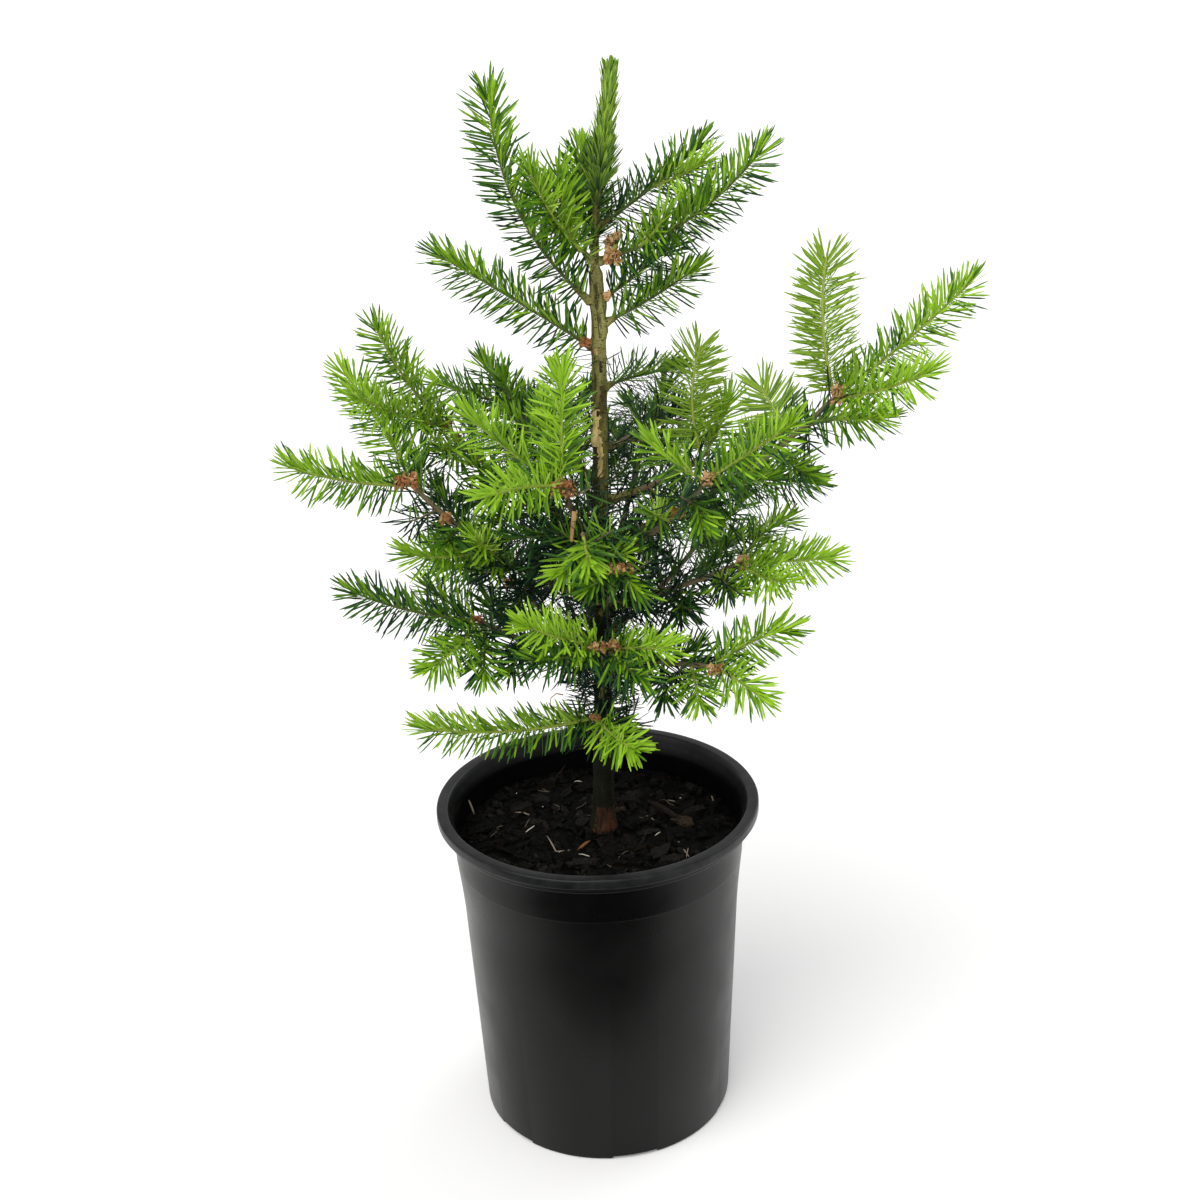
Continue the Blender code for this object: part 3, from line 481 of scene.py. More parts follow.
def sweep(places: Sequence[Matrix], sides: int) -> bmesh.types.BMesh:
    """Draws a round outline through a row of places as one closed tube.

    Args:
        places: Where each ring goes: its Z axis along the tube, scaled to its radius.
        sides: The number of corners round the tube.

    Returns:
        The tube's bmesh.
    """
    bm = bmesh.new()
    bmesh.ops.create_circle(bm, cap_ends=True, segments=sides, radius=1.0)
    bmesh.ops.transform(bm, matrix=places[0], verts=bm.verts)
    cap = bm.faces[:][0]
    for before, after in zip(places, places[1:]):
        made = bmesh.ops.extrude_face_region(bm, geom=[cap])
        cap = next(item for item in made["geom"] if isinstance(item, bmesh.types.BMFace))
        bmesh.ops.transform(bm, matrix=after @ before.inverted(), verts=cap.verts[:])
    return bm


def ring_place(centre: Vector, heading: Vector, above: Vector, radius: float) -> Matrix:
    """Gives the place of one ring of a tube.

    Args:
        centre: Its centre.
        heading: Where the tube goes.
        above: A direction square to the heading, which keeps rings from twisting.
        radius: Its radius.

    Returns:
        The matrix that takes a flat unit circle there.
    """
    turned = Matrix((heading.cross(above), above, heading)).transposed().to_4x4()
    return Matrix.Translation(centre) @ turned @ Matrix.Diagonal((radius, radius, radius, 1.0))


def roughen(bm: bmesh.types.BMesh, relief: Callable[[Vector], float]) -> None:
    """Moves each point of a bmesh along its normal.

    Args:
        bm: The bmesh.
        relief: Gives how far, from where the point is.
    """
    bmesh.ops.recalc_face_normals(bm, faces=bm.faces)
    moves = [(vert, vert.normal * relief(vert.co)) for vert in bm.verts]
    for vert, move in moves:
        vert.co += move


class NodeTree:
    """A material's nodes, laid down one at a time."""

    def __init__(self, name: str) -> None:
        """Makes a material with its shader and output."""
        self.material = bpy.data.materials.new(name)
        self.material.use_nodes = True
        self.tree = self.material.node_tree
        self.shader = self.tree.nodes["Principled BSDF"]
        self.place = self.tree.nodes.new("ShaderNodeTexCoord").outputs["Object"]

    def link(self, source: bpy.types.NodeSocket, target: bpy.types.NodeSocket) -> None:
        """Joins two sockets."""
        self.tree.links.new(source, target)

    def mapped(self, scale: tuple[float, float, float]) -> bpy.types.NodeSocket:
        """Gives the object's own place, stretched by a scale on each axis."""
        node = self.tree.nodes.new("ShaderNodeMapping")
        node.inputs["Scale"].default_value = scale
        self.link(self.place, node.inputs["Vector"])
        return node.outputs["Vector"]

    def height(self, low: float, high: float) -> bpy.types.NodeSocket:
        """Gives a share that goes from 0 to 1 between two heights in metres."""
        split = self.tree.nodes.new("ShaderNodeSeparateXYZ")
        node = self.tree.nodes.new("ShaderNodeMapRange")
        node.inputs["From Min"].default_value = low
        node.inputs["From Max"].default_value = high
        self.link(self.place, split.inputs["Vector"])
        self.link(split.outputs["Z"], node.inputs["Value"])
        return node.outputs["Result"]

    def noise(self, scale: float, detail: float = 4.0, place: bpy.types.NodeSocket | None = None,
              rough: float = 0.55) -> bpy.types.NodeSocket:
        """Gives a cloudy pattern.

        Args:
            scale: Its cells in a metre.
            detail: Its octaves.
            place: Where it reads its place from, or none for the object's own.
            rough: The weight of its finer octaves.

        Returns:
            Its value, from 0 to 1.
        """
        node = self.tree.nodes.new("ShaderNodeTexNoise")
        node.inputs["Scale"].default_value = scale
        node.inputs["Detail"].default_value = detail
        node.inputs["Roughness"].default_value = rough
        self.link(place or self.place, node.inputs["Vector"])
        return node.outputs["Fac"]

    def ramp(self, value: bpy.types.NodeSocket, stops: Sequence[tuple[float, Sequence[float]]]) -> bpy.types.NodeSocket:
        """Gives a colour for a value.

        Args:
            value: The value, from 0 to 1.
            stops: Places from 0 to 1, each with its red, green and blue.

        Returns:
            The colour.
        """
        node = self.tree.nodes.new("ShaderNodeValToRGB")
        elements = node.color_ramp.elements
        while len(elements) < len(stops):
            elements.new(0.5)
        for element, (place, colour) in zip(elements, stops):
            element.position = place
            element.color = (*colour, 1.0)
        self.link(value, node.inputs["Fac"])
        return node.outputs["Color"]

    def mix(self, share: bpy.types.NodeSocket, one: bpy.types.NodeSocket,
            other: bpy.types.NodeSocket | Sequence[float]) -> bpy.types.NodeSocket:
        """Mixes two colours.

        Args:
            share: How much of the other there is.
            one: The first colour.
            other: The second one, as a socket or as red, green and blue.

        Returns:
            The mixed colour.
        """
        node = self.tree.nodes.new("ShaderNodeMix")
        node.data_type = "RGBA"
        self.link(share, node.inputs[0])
        self.link(one, node.inputs[6])
        if isinstance(other, bpy.types.NodeSocket):
            self.link(other, node.inputs[7])
        else:
            node.inputs[7].default_value = (*other, 1.0)
        return node.outputs[2]

    def bump(self, height: bpy.types.NodeSocket, strength: float, distance: float) -> None:
        """Gives the surface a fine relief.

        Args:
            height: The relief, from 0 to 1.
            strength: How strongly it shows.
            distance: Its depth in metres.
        """
        node = self.tree.nodes.new("ShaderNodeBump")
        node.inputs["Strength"].default_value = strength
        node.inputs["Distance"].default_value = distance
        self.link(height, node.inputs["Height"])
        self.link(node.outputs["Normal"], self.shader.inputs["Normal"])

    def set(self, **values: float) -> None:
        """Sets sockets of the shader by name, with _ for a space."""
        for name, value in values.items():
            self.shader.inputs[name.replace("_", " ")].default_value = value


@dataclass(frozen=True)
class PlainFinish:
    """One even colour, for needles, buds and other small things."""

    name: str
    colour: tuple[float, float, float]
    roughness: float = 0.5
    specular: float = 0.5
    sheen: float = 0.0

    def make(self) -> bpy.types.Material:
        """Makes the material."""
        nodes = NodeTree(self.name)
        nodes.shader.inputs["Base Color"].default_value = (*self.colour, 1.0)
        nodes.set(Roughness=self.roughness, Specular_IOR_Level=self.specular, Sheen_Weight=self.sheen)
        return nodes.material


@dataclass(frozen=True)
class BarkFinish:
    """Smooth young bark: grey-brown with green in it, dark flecks and grey bloom, with painted shade: a darker shaded
    ramp low down, where the crown's shadow falls, and a lit ramp higher up.
    """

    name: str = "grey_brown_bark"
    stretch: tuple[float, float, float] = (1.0, 1.0, 0.35)
    painted_shade_below: float = 0.27
    painted_light_above: float = 0.33

    def make(self) -> bpy.types.Material:
        """Makes the material."""
        nodes = NodeTree(self.name)
        broad = nodes.noise(110.0, 6.0, nodes.mapped(self.stretch), 0.65)
        lit = nodes.ramp(broad, (
            (0.32, (0.045, 0.037, 0.012)), (0.45, (0.16, 0.148, 0.045)),
            (0.58, (0.26, 0.245, 0.08)), (0.74, (0.42, 0.4, 0.17)),
        ))
        shaded = nodes.ramp(broad, ((0.35, (0.005, 0.0055, 0.003)), (0.55, (0.014, 0.0155, 0.008)),
                                    (0.75, (0.042, 0.038, 0.022))))
        # Painted shade: low on the trunk the bark takes the darker shaded ramp, for the crown's shadow, and higher up
        # the lit ramp.
        base = nodes.mix(nodes.height(self.painted_shade_below, self.painted_light_above), shaded, lit)
        cracks = nodes.noise(420.0, 3.0, nodes.mapped((1.0, 1.0, 0.16)), 0.6)
        crack_share = nodes.ramp(cracks, ((0.36, (0.75, 0.75, 0.75)), (0.46, (0.0, 0.0, 0.0))))
        base = nodes.mix(crack_share, base, (0.01, 0.008, 0.005))
        flecks = nodes.noise(700.0, 2.0, nodes.mapped((1.0, 1.0, 2.2)))
        fleck_share = nodes.ramp(flecks, ((0.58, (0.0, 0.0, 0.0)), (0.64, (0.8, 0.8, 0.8))))
        nodes.link(nodes.mix(fleck_share, base, (0.015, 0.011, 0.006)), nodes.shader.inputs["Base Color"])
        nodes.bump(nodes.noise(1400.0, 4.0, nodes.mapped((1.0, 1.0, 0.5))), 0.8, 0.0008)
        nodes.set(Roughness=0.8, Specular_IOR_Level=0.1)
        return nodes.material


@dataclass(frozen=True)
class WoundFinish:
    """Bare wood or a scar, streaked along the trunk."""

    name: str
    dark: tuple[float, float, float]
    light: tuple[float, float, float]

    def make(self) -> bpy.types.Material:
        """Makes the material."""
        nodes = NodeTree(self.name)
        streaks = nodes.noise(500.0, 4.0, nodes.mapped((1.0, 1.0, 0.2)), 0.6)
        nodes.link(nodes.ramp(streaks, ((0.38, self.dark), (0.6, self.light))), nodes.shader.inputs["Base Color"])
        nodes.bump(streaks, 0.7, 0.0008)
        nodes.set(Roughness=0.75, Specular_IOR_Level=0.25)
        return nodes.material


@dataclass(frozen=True)
class PlasticFinish:
    """Black moulded plastic: satin, fine-grained, a little dusty and scuffed."""

    name: str = "black_plastic"
    paler_above: float = 0.17

    def make(self) -> bpy.types.Material:
        """Makes the material."""
        nodes = NodeTree(self.name)
        dust = nodes.noise(14.0, 6.0, rough=0.7)
        wall = nodes.ramp(dust, (
            (0.35, (0.0007, 0.0008, 0.0007)), (0.6, (0.0016, 0.0018, 0.0016)), (0.8, (0.005, 0.005, 0.0044)),
        ))
        paler_rim = nodes.ramp(nodes.noise(90.0, 6.0, rough=0.7), ((0.35, (0.004, 0.0044, 0.0044)),
                                                             (0.7, (0.017, 0.018, 0.018))))
        # The pot is paler above this height: its lip and the top of its bore.
        base = nodes.mix(nodes.height(self.paler_above - 0.002, self.paler_above), wall, paler_rim)
        scuffs = nodes.noise(60.0, 8.0, nodes.mapped((1.0, 1.0, 6.0)), 0.75)
        scuff_share = nodes.ramp(scuffs, ((0.66, (0.0, 0.0, 0.0)), (0.72, (0.35, 0.35, 0.35))))
        nodes.link(nodes.mix(scuff_share, base, (0.03, 0.03, 0.029)), nodes.shader.inputs["Base Color"])
        gloss = nodes.ramp(nodes.noise(35.0, 5.0), ((0.3, (0.26, 0.26, 0.26)), (0.7, (0.38, 0.38, 0.38))))
        nodes.link(gloss, nodes.shader.inputs["Roughness"])
        nodes.bump(nodes.noise(2600.0, 3.0), 0.16, 0.0003)
        nodes.set(Specular_IOR_Level=0.2)
        return nodes.material


@dataclass(frozen=True)
class MixFinish:
    """Damp composted bark: near black, with browner crumbs."""

    name: str
    dark: tuple[float, float, float] = (0.0007, 0.0007, 0.0006)
    light: tuple[float, float, float] = (0.0046, 0.0044, 0.0037)
    cells: float = 260.0

    def make(self) -> bpy.types.Material:
        """Makes the material."""
        nodes = NodeTree(self.name)
        crumbs = nodes.noise(self.cells, 6.0, rough=0.65)
        middle = tuple((a + b) / 2.5 for a, b in zip(self.dark, self.light))
        nodes.link(nodes.ramp(crumbs, ((0.35, self.dark), (0.55, middle), (0.75, self.light))),
                   nodes.shader.inputs["Base Color"])
        nodes.bump(nodes.noise(self.cells * 4, 5.0), 0.8, 0.001)
        nodes.set(Roughness=0.8, Specular_IOR_Level=0.06)
        return nodes.material


@dataclass
class Pot:
    """The black pot, turned from one profile whose corners are rounded."""

    height: float = 175.5
    base_radius: float = 65.6
    wall_top_radius: float = 72.0
    collar_radius: float = 74.4
    lip_radius: float = 82.3
    bore_radius: float = 76.4
    collar_height: float = 141.0
    mould_line: float = 147.0
    step_height: float = 167.0
    lip_height: float = 170.5
    wall: float = 1.4
    floor: float = 3.2
    steps: int = 180
    notch_count: int = 6
    notch_angle: float = 21.0
    notch_height: float = 2.0
    notch_turn: float = 11.0
    tab_turn: float = -90.5
    tab_half_angle: float = 4.2
    tab_depth: float = 0.45

    def corners(self) -> list[tuple[float, float, float]]:
        """Gives the profile's corners: radius, height and how far each is rounded."""
        inner_collar = self.collar_radius - self.wall
        return [
            (self.base_radius, 0.0, 1.5),
            (self.wall_top_radius - 0.65, self.collar_height - 16, 9.0),
            (self.collar_radius - 0.75, self.mould_line, 0.2),
            (self.collar_radius - 0.67, self.mould_line + 0.3, 0.2),
            (self.collar_radius - 0.35, 155.0, 0.0),
            (self.collar_radius, self.step_height, 0.5),
            (self.lip_radius - 2.3, self.step_height, 0.8),
            (self.lip_radius - 2.0, self.lip_height, 0.3),
            (self.lip_radius, self.lip_height, 0.7),
            (self.lip_radius, self.height, 1.1),
            (self.bore_radius + 0.4, self.height, 0.9),
            (self.bore_radius - 0.8, self.height - 2.4, 0.8),
            (inner_collar, self.step_height - 1, 1.5),
            (self.wall_top_radius - self.wall, self.collar_height - 2, 1.0),
            (self.base_radius - self.wall, self.floor, 1.0),
        ]

    def profile(self) -> list[tuple[float, float]]:
        """Gives the outline from the underside's centre to the floor's, with rounded corners."""
        corners = self.corners()
        outline = [(0.0, 0.0)]
        ends = [(0.0, 0.0, 0.0), *corners, (0.0, self.floor, 0.0)]
        for before, here, after in zip(ends, ends[1:], ends[2:]):
            corner, reach = Vector(here[:2]), here[2]
            back = (Vector(before[:2]) - corner).normalized() * reach
            ahead = (Vector(after[:2]) - corner).normalized() * reach
            for share in (0.0, 0.25, 0.5, 0.75, 1.0) if reach else (0.5,):
                point = corner + back * (1 - share) ** 2 + ahead * share ** 2
                outline.append((point.x, point.y))
        outline.append((0.0, self.floor))
        return outline

    def turned(self) -> bmesh.types.BMesh:
        """Spins the profile once round."""
        bm = bmesh.new()
        chain = [bm.verts.new((radius * MM, 0.0, height * MM)) for radius, height in self.profile()]
        for one, other in zip(chain, chain[1:]):
            bm.edges.new((one, other))
        bmesh.ops.spin(bm, geom=bm.verts[:] + bm.edges[:], axis=(0, 0, 1), cent=(0, 0, 0),
                       angle=2 * math.pi, steps=self.steps, use_merge=True)
        bmesh.ops.remove_doubles(bm, verts=bm.verts, dist=0.00001)
        bmesh.ops.recalc_face_normals(bm, faces=bm.faces)
        return bm

    def press_tab(self, bm: bmesh.types.BMesh) -> None:
        """Presses the small moulding tab into the front of the lip."""
        for vert in bm.verts:
            angle = math.degrees(math.atan2(vert.co.y, vert.co.x)) - self.tab_turn
            on_lip = vert.co.z > (self.lip_height - 0.2) * MM and vert.co.xy.length > (self.lip_radius - 1.2) * MM
            if abs(angle) < self.tab_half_angle and on_lip:
                vert.co.xy *= 1 - self.tab_depth / self.lip_radius

    def cut_notches(self, pot: bpy.types.Object) -> None:
        """Cuts the drain notches into the edge of the underside."""
        bm = bmesh.new()
        for i in range(self.notch_count):
            made = bmesh.ops.create_cube(bm, size=1.0)["verts"]
            width = 2 * self.base_radius * math.sin(math.radians(self.notch_angle / 2))
            bmesh.ops.scale(bm, vec=(14.0 * MM, width * MM, 2 * self.notch_height * MM), verts=made)
            bmesh.ops.translate(bm, vec=(self.base_radius * MM, 0, 0), verts=made)
            turn = math.radians(-90 + self.notch_turn + i * 360 / self.notch_count)
            bmesh.ops.rotate(bm, cent=(0, 0, 0), matrix=Matrix.Rotation(turn, 3, "Z"), verts=made)
        mesh = bpy.data.meshes.new("notch_cutter")
        bm.to_mesh(mesh)
        bm.free()
        cutter = bpy.data.objects.new("notch_cutter", mesh)
        bpy.context.scene.collection.objects.link(cutter)
        cut = pot.modifiers.new("notches", "BOOLEAN")
        cut.operation = "DIFFERENCE"
        cut.object = cutter
        bpy.context.view_layer.update()
        pot.data = bpy.data.meshes.new_from_object(pot.evaluated_get(bpy.context.evaluated_depsgraph_get()))
        pot.modifiers.clear()
        bpy.data.objects.remove(cutter)

    def build(self) -> None:
        """Makes the pot."""
        bm = self.turned()
        self.press_tab(bm)
        mesh = bpy.data.meshes.new("nursery_pot")
        bm.to_mesh(mesh)
        bm.free()
        pot = bpy.data.objects.new("nursery_pot", mesh)
        bpy.context.scene.collection.objects.link(pot)
        self.cut_notches(pot)
        pot.data.materials.clear()
        pot.data.materials.append(PlasticFinish().make())
        pot.data.shade_smooth()
        pot.data.set_sharp_from_angle(angle=math.radians(35))
        settle(pot, ["pot"])


@dataclass(frozen=True)
class Strand:
    """A stick, twig or fibre: its points as X, Y and how far it lifts off the mix."""

    points: tuple[tuple[float, float, float], ...]
    radius: float
    slot: int = 0


STRANDS = (
    Strand(((26.6, 22.2, 0.0), (42.2, 2.7, 0.6)), 1.5, 2),
    Strand(((-65.0, 18.0, 0.0), (-67.5, 20.0, 8.5)), 0.5, 0),
    Strand(((-26.5, -10.3, 1.0), (-21.9, -23.7, 0.0), (-14.8, -25.3, 0.4)), 0.4, 0),
    Strand(((-10.8, -24.6, 0.0), (-4.7, -17.1, 0.6)), 0.7, 3),
    Strand(((-23.2, 48.0, 0.0), (-21.5, 46.0, 6.0), (-16.5, 44.0, 13.0)), 0.6, 2),
    Strand(((42.0, -27.0, 0.5), (44.5, -33.0, 0.0)), 0.3, 0),
    Strand(((44.5, -27.5, 1.5), (43.0, -33.5, 0.0)), 0.25, 0),
    Strand(((-37.5, -3.0, 0.0), (-33.0, 1.8, 0.4)), 0.32, 1),
    Strand(((-43.5, 17.3, 0.0), (-34.0, 13.2, 0.2)), 0.35, 0),
    Strand(((28.5, -12.8, 0.0), (31.5, -8.9, 0.2)), 0.26, 1),
    Strand(((-12.3, 51.3, 0.0), (-8.0, 49.8, 0.2)), 0.24, 1),
    Strand(((-10.5, -28.6, 0.0), (-4.5, -30.9, 0.2)), 0.22, 1),
    Strand(((44.0, 32.0, 0.0), (49.1, 26.9, 0.2)), 0.35, 0),
    Strand(((37.0, 24.6, 0.0), (41.0, 23.2, 0.2)), 0.3, 0),
    Strand(((60.5, 29.2, 0.0), (61.5, 22.5, 0.2)), 0.35, 0),
    Strand(((24.8, 7.3, 0.0), (28.8, 3.8, 0.2)), 0.4, 0),
)


@dataclass
class PottingMix:
    """The bark mix in the pot: its crumbly surface, and what lies on it."""

    level: float = 158.0
    edge_radius: float = 72.2
    edge_drop: float = 2.5
    bottom: float = 4.0
    rings: int = 40
    steps: int = 160
    chip_count: int = 900
    crumb_count: int = 1800
    bead_count: int = 12
    fibre_count: int = 12
    draw: random.Random = field(default_factory=lambda: random.Random(SEED))

    def surface_height(self, x: float, y: float) -> float:
        """Gives the height of the surface at a place."""
        out = math.hypot(x, y) / self.edge_radius
        lumps = noise.noise(Vector((x * 0.09, y * 0.09, 3.1))) * 1.3
        lumps += noise.noise(Vector((x * 0.35, y * 0.35, 7.7))) * 0.8
        return self.level - 0.6 - self.edge_drop * min(1.0, out) ** 2 + lumps * (0.4 + 0.6 * min(1.0, out))

    def surface(self) -> None:
        """Makes the body of the mix, with its lumpy surface."""
        bm = bmesh.new()
        outline = [(0.0, self.level)]
        outline += [(self.edge_radius * i / self.rings, self.level) for i in range(1, self.rings + 1)]
        outline += [(69.9, 138.0), (63.0, self.bottom), (0.0, self.bottom)]
        chain = [bm.verts.new((radius, 0.0, height)) for radius, height in outline]
        for one, other in zip(chain, chain[1:]):
            bm.edges.new((one, other))
        bmesh.ops.spin(bm, geom=bm.verts[:] + bm.edges[:], axis=(0, 0, 1), cent=(0, 0, 0),
                       angle=2 * math.pi, steps=self.steps, use_merge=True)
        bmesh.ops.remove_doubles(bm, verts=bm.verts, dist=0.01)
        for vert in bm.verts:
            if vert.co.z > self.level - 1:
                vert.co.z = self.surface_height(vert.co.x, vert.co.y)
        gathered = Gathered()
        gathered.add_bmesh(bm)
        settle(gathered.piece("potting_mix_body", [MixFinish("damp_mix").make()], 60), ["potting_mix"])

    def flake(self, length: float, width: float, thickness: float, seed: float) -> bmesh.types.BMesh:
        """Makes one ragged flake of bark, centred and lying flat.

        Args:
            length: Its length.
            width: Its width.
            thickness: Its thickness.
            seed: What sets its ragged edge.

        Returns:
            Its bmesh.
        """
        bm = bmesh.new()
        bmesh.ops.create_icosphere(bm, subdivisions=3 if length > 9 else 2, radius=0.5)
        for vert in bm.verts:
            ragged = 1 + 0.6 * noise.noise(vert.co * 3.0 + Vector((seed, 0, 0)))
            ragged += 0.35 * noise.noise(vert.co * 9.0 + Vector((0, seed, 0)))
            flat = max(-0.34, min(0.34, vert.co.z * 1.6))
            vert.co = Vector((vert.co.x * length * ragged, vert.co.y * width * ragged, flat * thickness * ragged))
        return bm

    def place(self, most: float) -> tuple[float, float]:
        """Draws a place on the surface, off the trunk's foot and inside a radius."""
        while True:
            x, y = self.draw.uniform(-most, most), self.draw.uniform(-most, most)
            if 7.0 < math.hypot(x - 3, y) and math.hypot(x, y) < most:
                return x, y

    def lay(self, bm: bmesh.types.BMesh, x: float, y: float, raise_by: float, tilt: float) -> None:
        """Lays a small shape on the surface.

        Args:
            bm: The shape.
            x: Its place along X.
            y: Its place along Y.
            raise_by: How far its centre stands over the surface.
            tilt: How far it may lean, in degrees.
        """
        lean = math.radians(self.draw.uniform(-tilt, tilt))
        turned = Matrix.Rotation(self.draw.uniform(0, math.tau), 4, "Z") @ Matrix.Rotation(lean, 4, "X")
        there = Matrix.Translation((x, y, self.surface_height(x, y) + raise_by))
        bmesh.ops.transform(bm, matrix=there @ turned, verts=bm.verts)

    def chips(self) -> None:
        """Makes the flakes of bark in three shades."""
        shades = [
            MixFinish("dark_bark_flakes", (0.0009, 0.0009, 0.0008), (0.012, 0.0116, 0.0102), 500.0).make(),
            MixFinish("brown_bark_flakes", (0.0018, 0.0013, 0.001), (0.02, 0.014, 0.01), 600.0).make(),
            MixFinish("grey_bark_flakes", (0.006, 0.0055, 0.005), (0.04, 0.036, 0.031), 700.0).make(),
        ]
        flakes = Gathered()
        for _ in range(self.chip_count):
            length = self.draw.uniform(3.5, 8.5) if self.draw.random() < 0.82 else self.draw.uniform(9.0, 15.0)
            bm = self.flake(length, length * self.draw.uniform(0.35, 0.75), self.draw.uniform(1.4, 3.6),
                            self.draw.uniform(0, 90))
            x, y = self.place(self.edge_radius - length * 0.45)
            self.lay(bm, x, y, self.draw.uniform(-0.6, 1.2), 50)
            flakes.add_bmesh(bm, self.draw.choices((0, 1, 2), (12, 3, 2))[0])
        settle(flakes.piece("bark_flakes", shades), ["potting_mix"])

    def tube(self, points: Sequence[Vector], radius: float, sides: int = 5) -> bmesh.types.BMesh:
        """Makes a thin bent rod through points, pointed at its ends."""
        places = []
        for i, point in enumerate(points):
            heading = (points[min(i + 1, len(points) - 1)] - points[max(i - 1, 0)]).normalized()
            above = square_to(UP if abs(heading.z) < 0.95 else Vector((1, 0, 0)), heading)
            share = min(i, len(points) - 1 - i) / max(1, len(points) // 3)
            places.append(ring_place(point, heading, above, radius * min(1.0, 0.35 + share)))
        return sweep(places, sides)

    def litter(self) -> None:
        """Makes the pale fibres, the white grains, the stick and the twigs."""
        finishes = [
            PlainFinish("dry_fibre", (0.24, 0.2, 0.145), 0.8, 0.2).make(),
            PlainFinish("white_grain", (0.62, 0.58, 0.5), 0.7, 0.3).make(),
            MixFinish("grey_stick", (0.012, 0.0095, 0.0075), (0.05, 0.04, 0.032), 900.0).make(),
            PlainFinish("orange_twig", (0.2, 0.085, 0.03), 0.7, 0.25).make(),
            MixFinish("tan_chip", (0.018, 0.012, 0.008), (0.1, 0.068, 0.045), 900.0).make(),
            MixFinish("black_chip", (0.003, 0.0027, 0.0024), (0.032, 0.028, 0.024), 700.0).make(),
        ]
        things = Gathered()
        for _ in range(self.fibre_count):
            x, y = self.place(self.edge_radius - 6)
            heading = self.draw.uniform(0, math.tau)
            points = []
            for _ in range(9):
                points.append(Vector((x, y, self.surface_height(x, y) + 1.6)))
                heading += self.draw.uniform(-0.5, 0.5)
                x, y = x + math.cos(heading) * 1.2, y + math.sin(heading) * 1.2
            if math.hypot(x, y) < self.edge_radius - 2:
                things.add_bmesh(self.tube(points, 0.11), 0)
        for _ in range(self.bead_count):
            bm = bmesh.new()
            bmesh.ops.create_icosphere(bm, subdivisions=1, radius=self.draw.uniform(0.25, 0.55))
            x, y = self.place(self.edge_radius - 4)
            self.lay(bm, x, y, 1.4, 0)
            things.add_bmesh(bm, 1)
        for strand in STRANDS:
            row = []
            for one, other in zip(strand.points, strand.points[1:]):
                row += [Vector(one).lerp(Vector(other), i / 4) for i in range(4)]
            row.append(Vector(strand.points[-1]))
            for i, point in enumerate(row):
                point.z += self.surface_height(point.x, point.y) + 1.4 + strand.radius + 0.3 * math.sin(i)
            things.add_bmesh(self.tube(row, strand.radius, 7), strand.slot)
        for x, y, length, width, turn, slot in ((43.8, 1.5, 11, 8, -40, 4), (11.5, 15, 6, 4, 20, 4), (16, 26, 13, 6, -10, 5),
                                                (-40, 22, 12, 6, 30, 5), (-8, -36, 15, 7, 5, 5), (30, -30, 13, 7, 60, 5),
                                                (-8, 4, 12, 7, 70, 5), (50, 12, 12, 6, 20, 5), (-30, 30, 12, 6, -50, 5)):
            bm = self.flake(length, width, 3.0, x)
            bmesh.ops.rotate(bm, cent=(0, 0, 0), matrix=Matrix.Rotation(math.radians(turn), 3, "Z"), verts=bm.verts)
            bmesh.ops.translate(bm, vec=(x, y, self.surface_height(x, y) + 1.9), verts=bm.verts)
            things.add_bmesh(bm, slot)
        settle(things.piece("mix_litter", finishes, 50), ["potting_mix"])

    def build(self) -> None:
        """Makes the mix and what lies on it."""
        self.surface()
        self.chips()
        self.litter()


@dataclass(frozen=True)
class BarkMark:
    """A wound or scar on the trunk: between two heights above the mix, round an azimuth."""

    low: float
    high: float
    azimuth: float
    half_angle: float
    slot: int


BARK_MARKS = (
    BarkMark(204.5, 222.5, -135.0, 44.0, 1),
    BarkMark(190.0, 206.0, -94.0, 20.0, 1),
    BarkMark(193.0, 204.5, -140.0, 26.0, 2),
    BarkMark(219.5, 222.2, -108.0, 16.0, 2),
    BarkMark(248.4, 251.2, -118.0, 15.0, 5),
    BarkMark(-2.0, 14.0, -72.0, 58.0, 3),
    BarkMark(226.0, 234.0, -70.0, 15.0, 2),
    BarkMark(240.0, 246.0, -80.0, 12.0, 2),
)


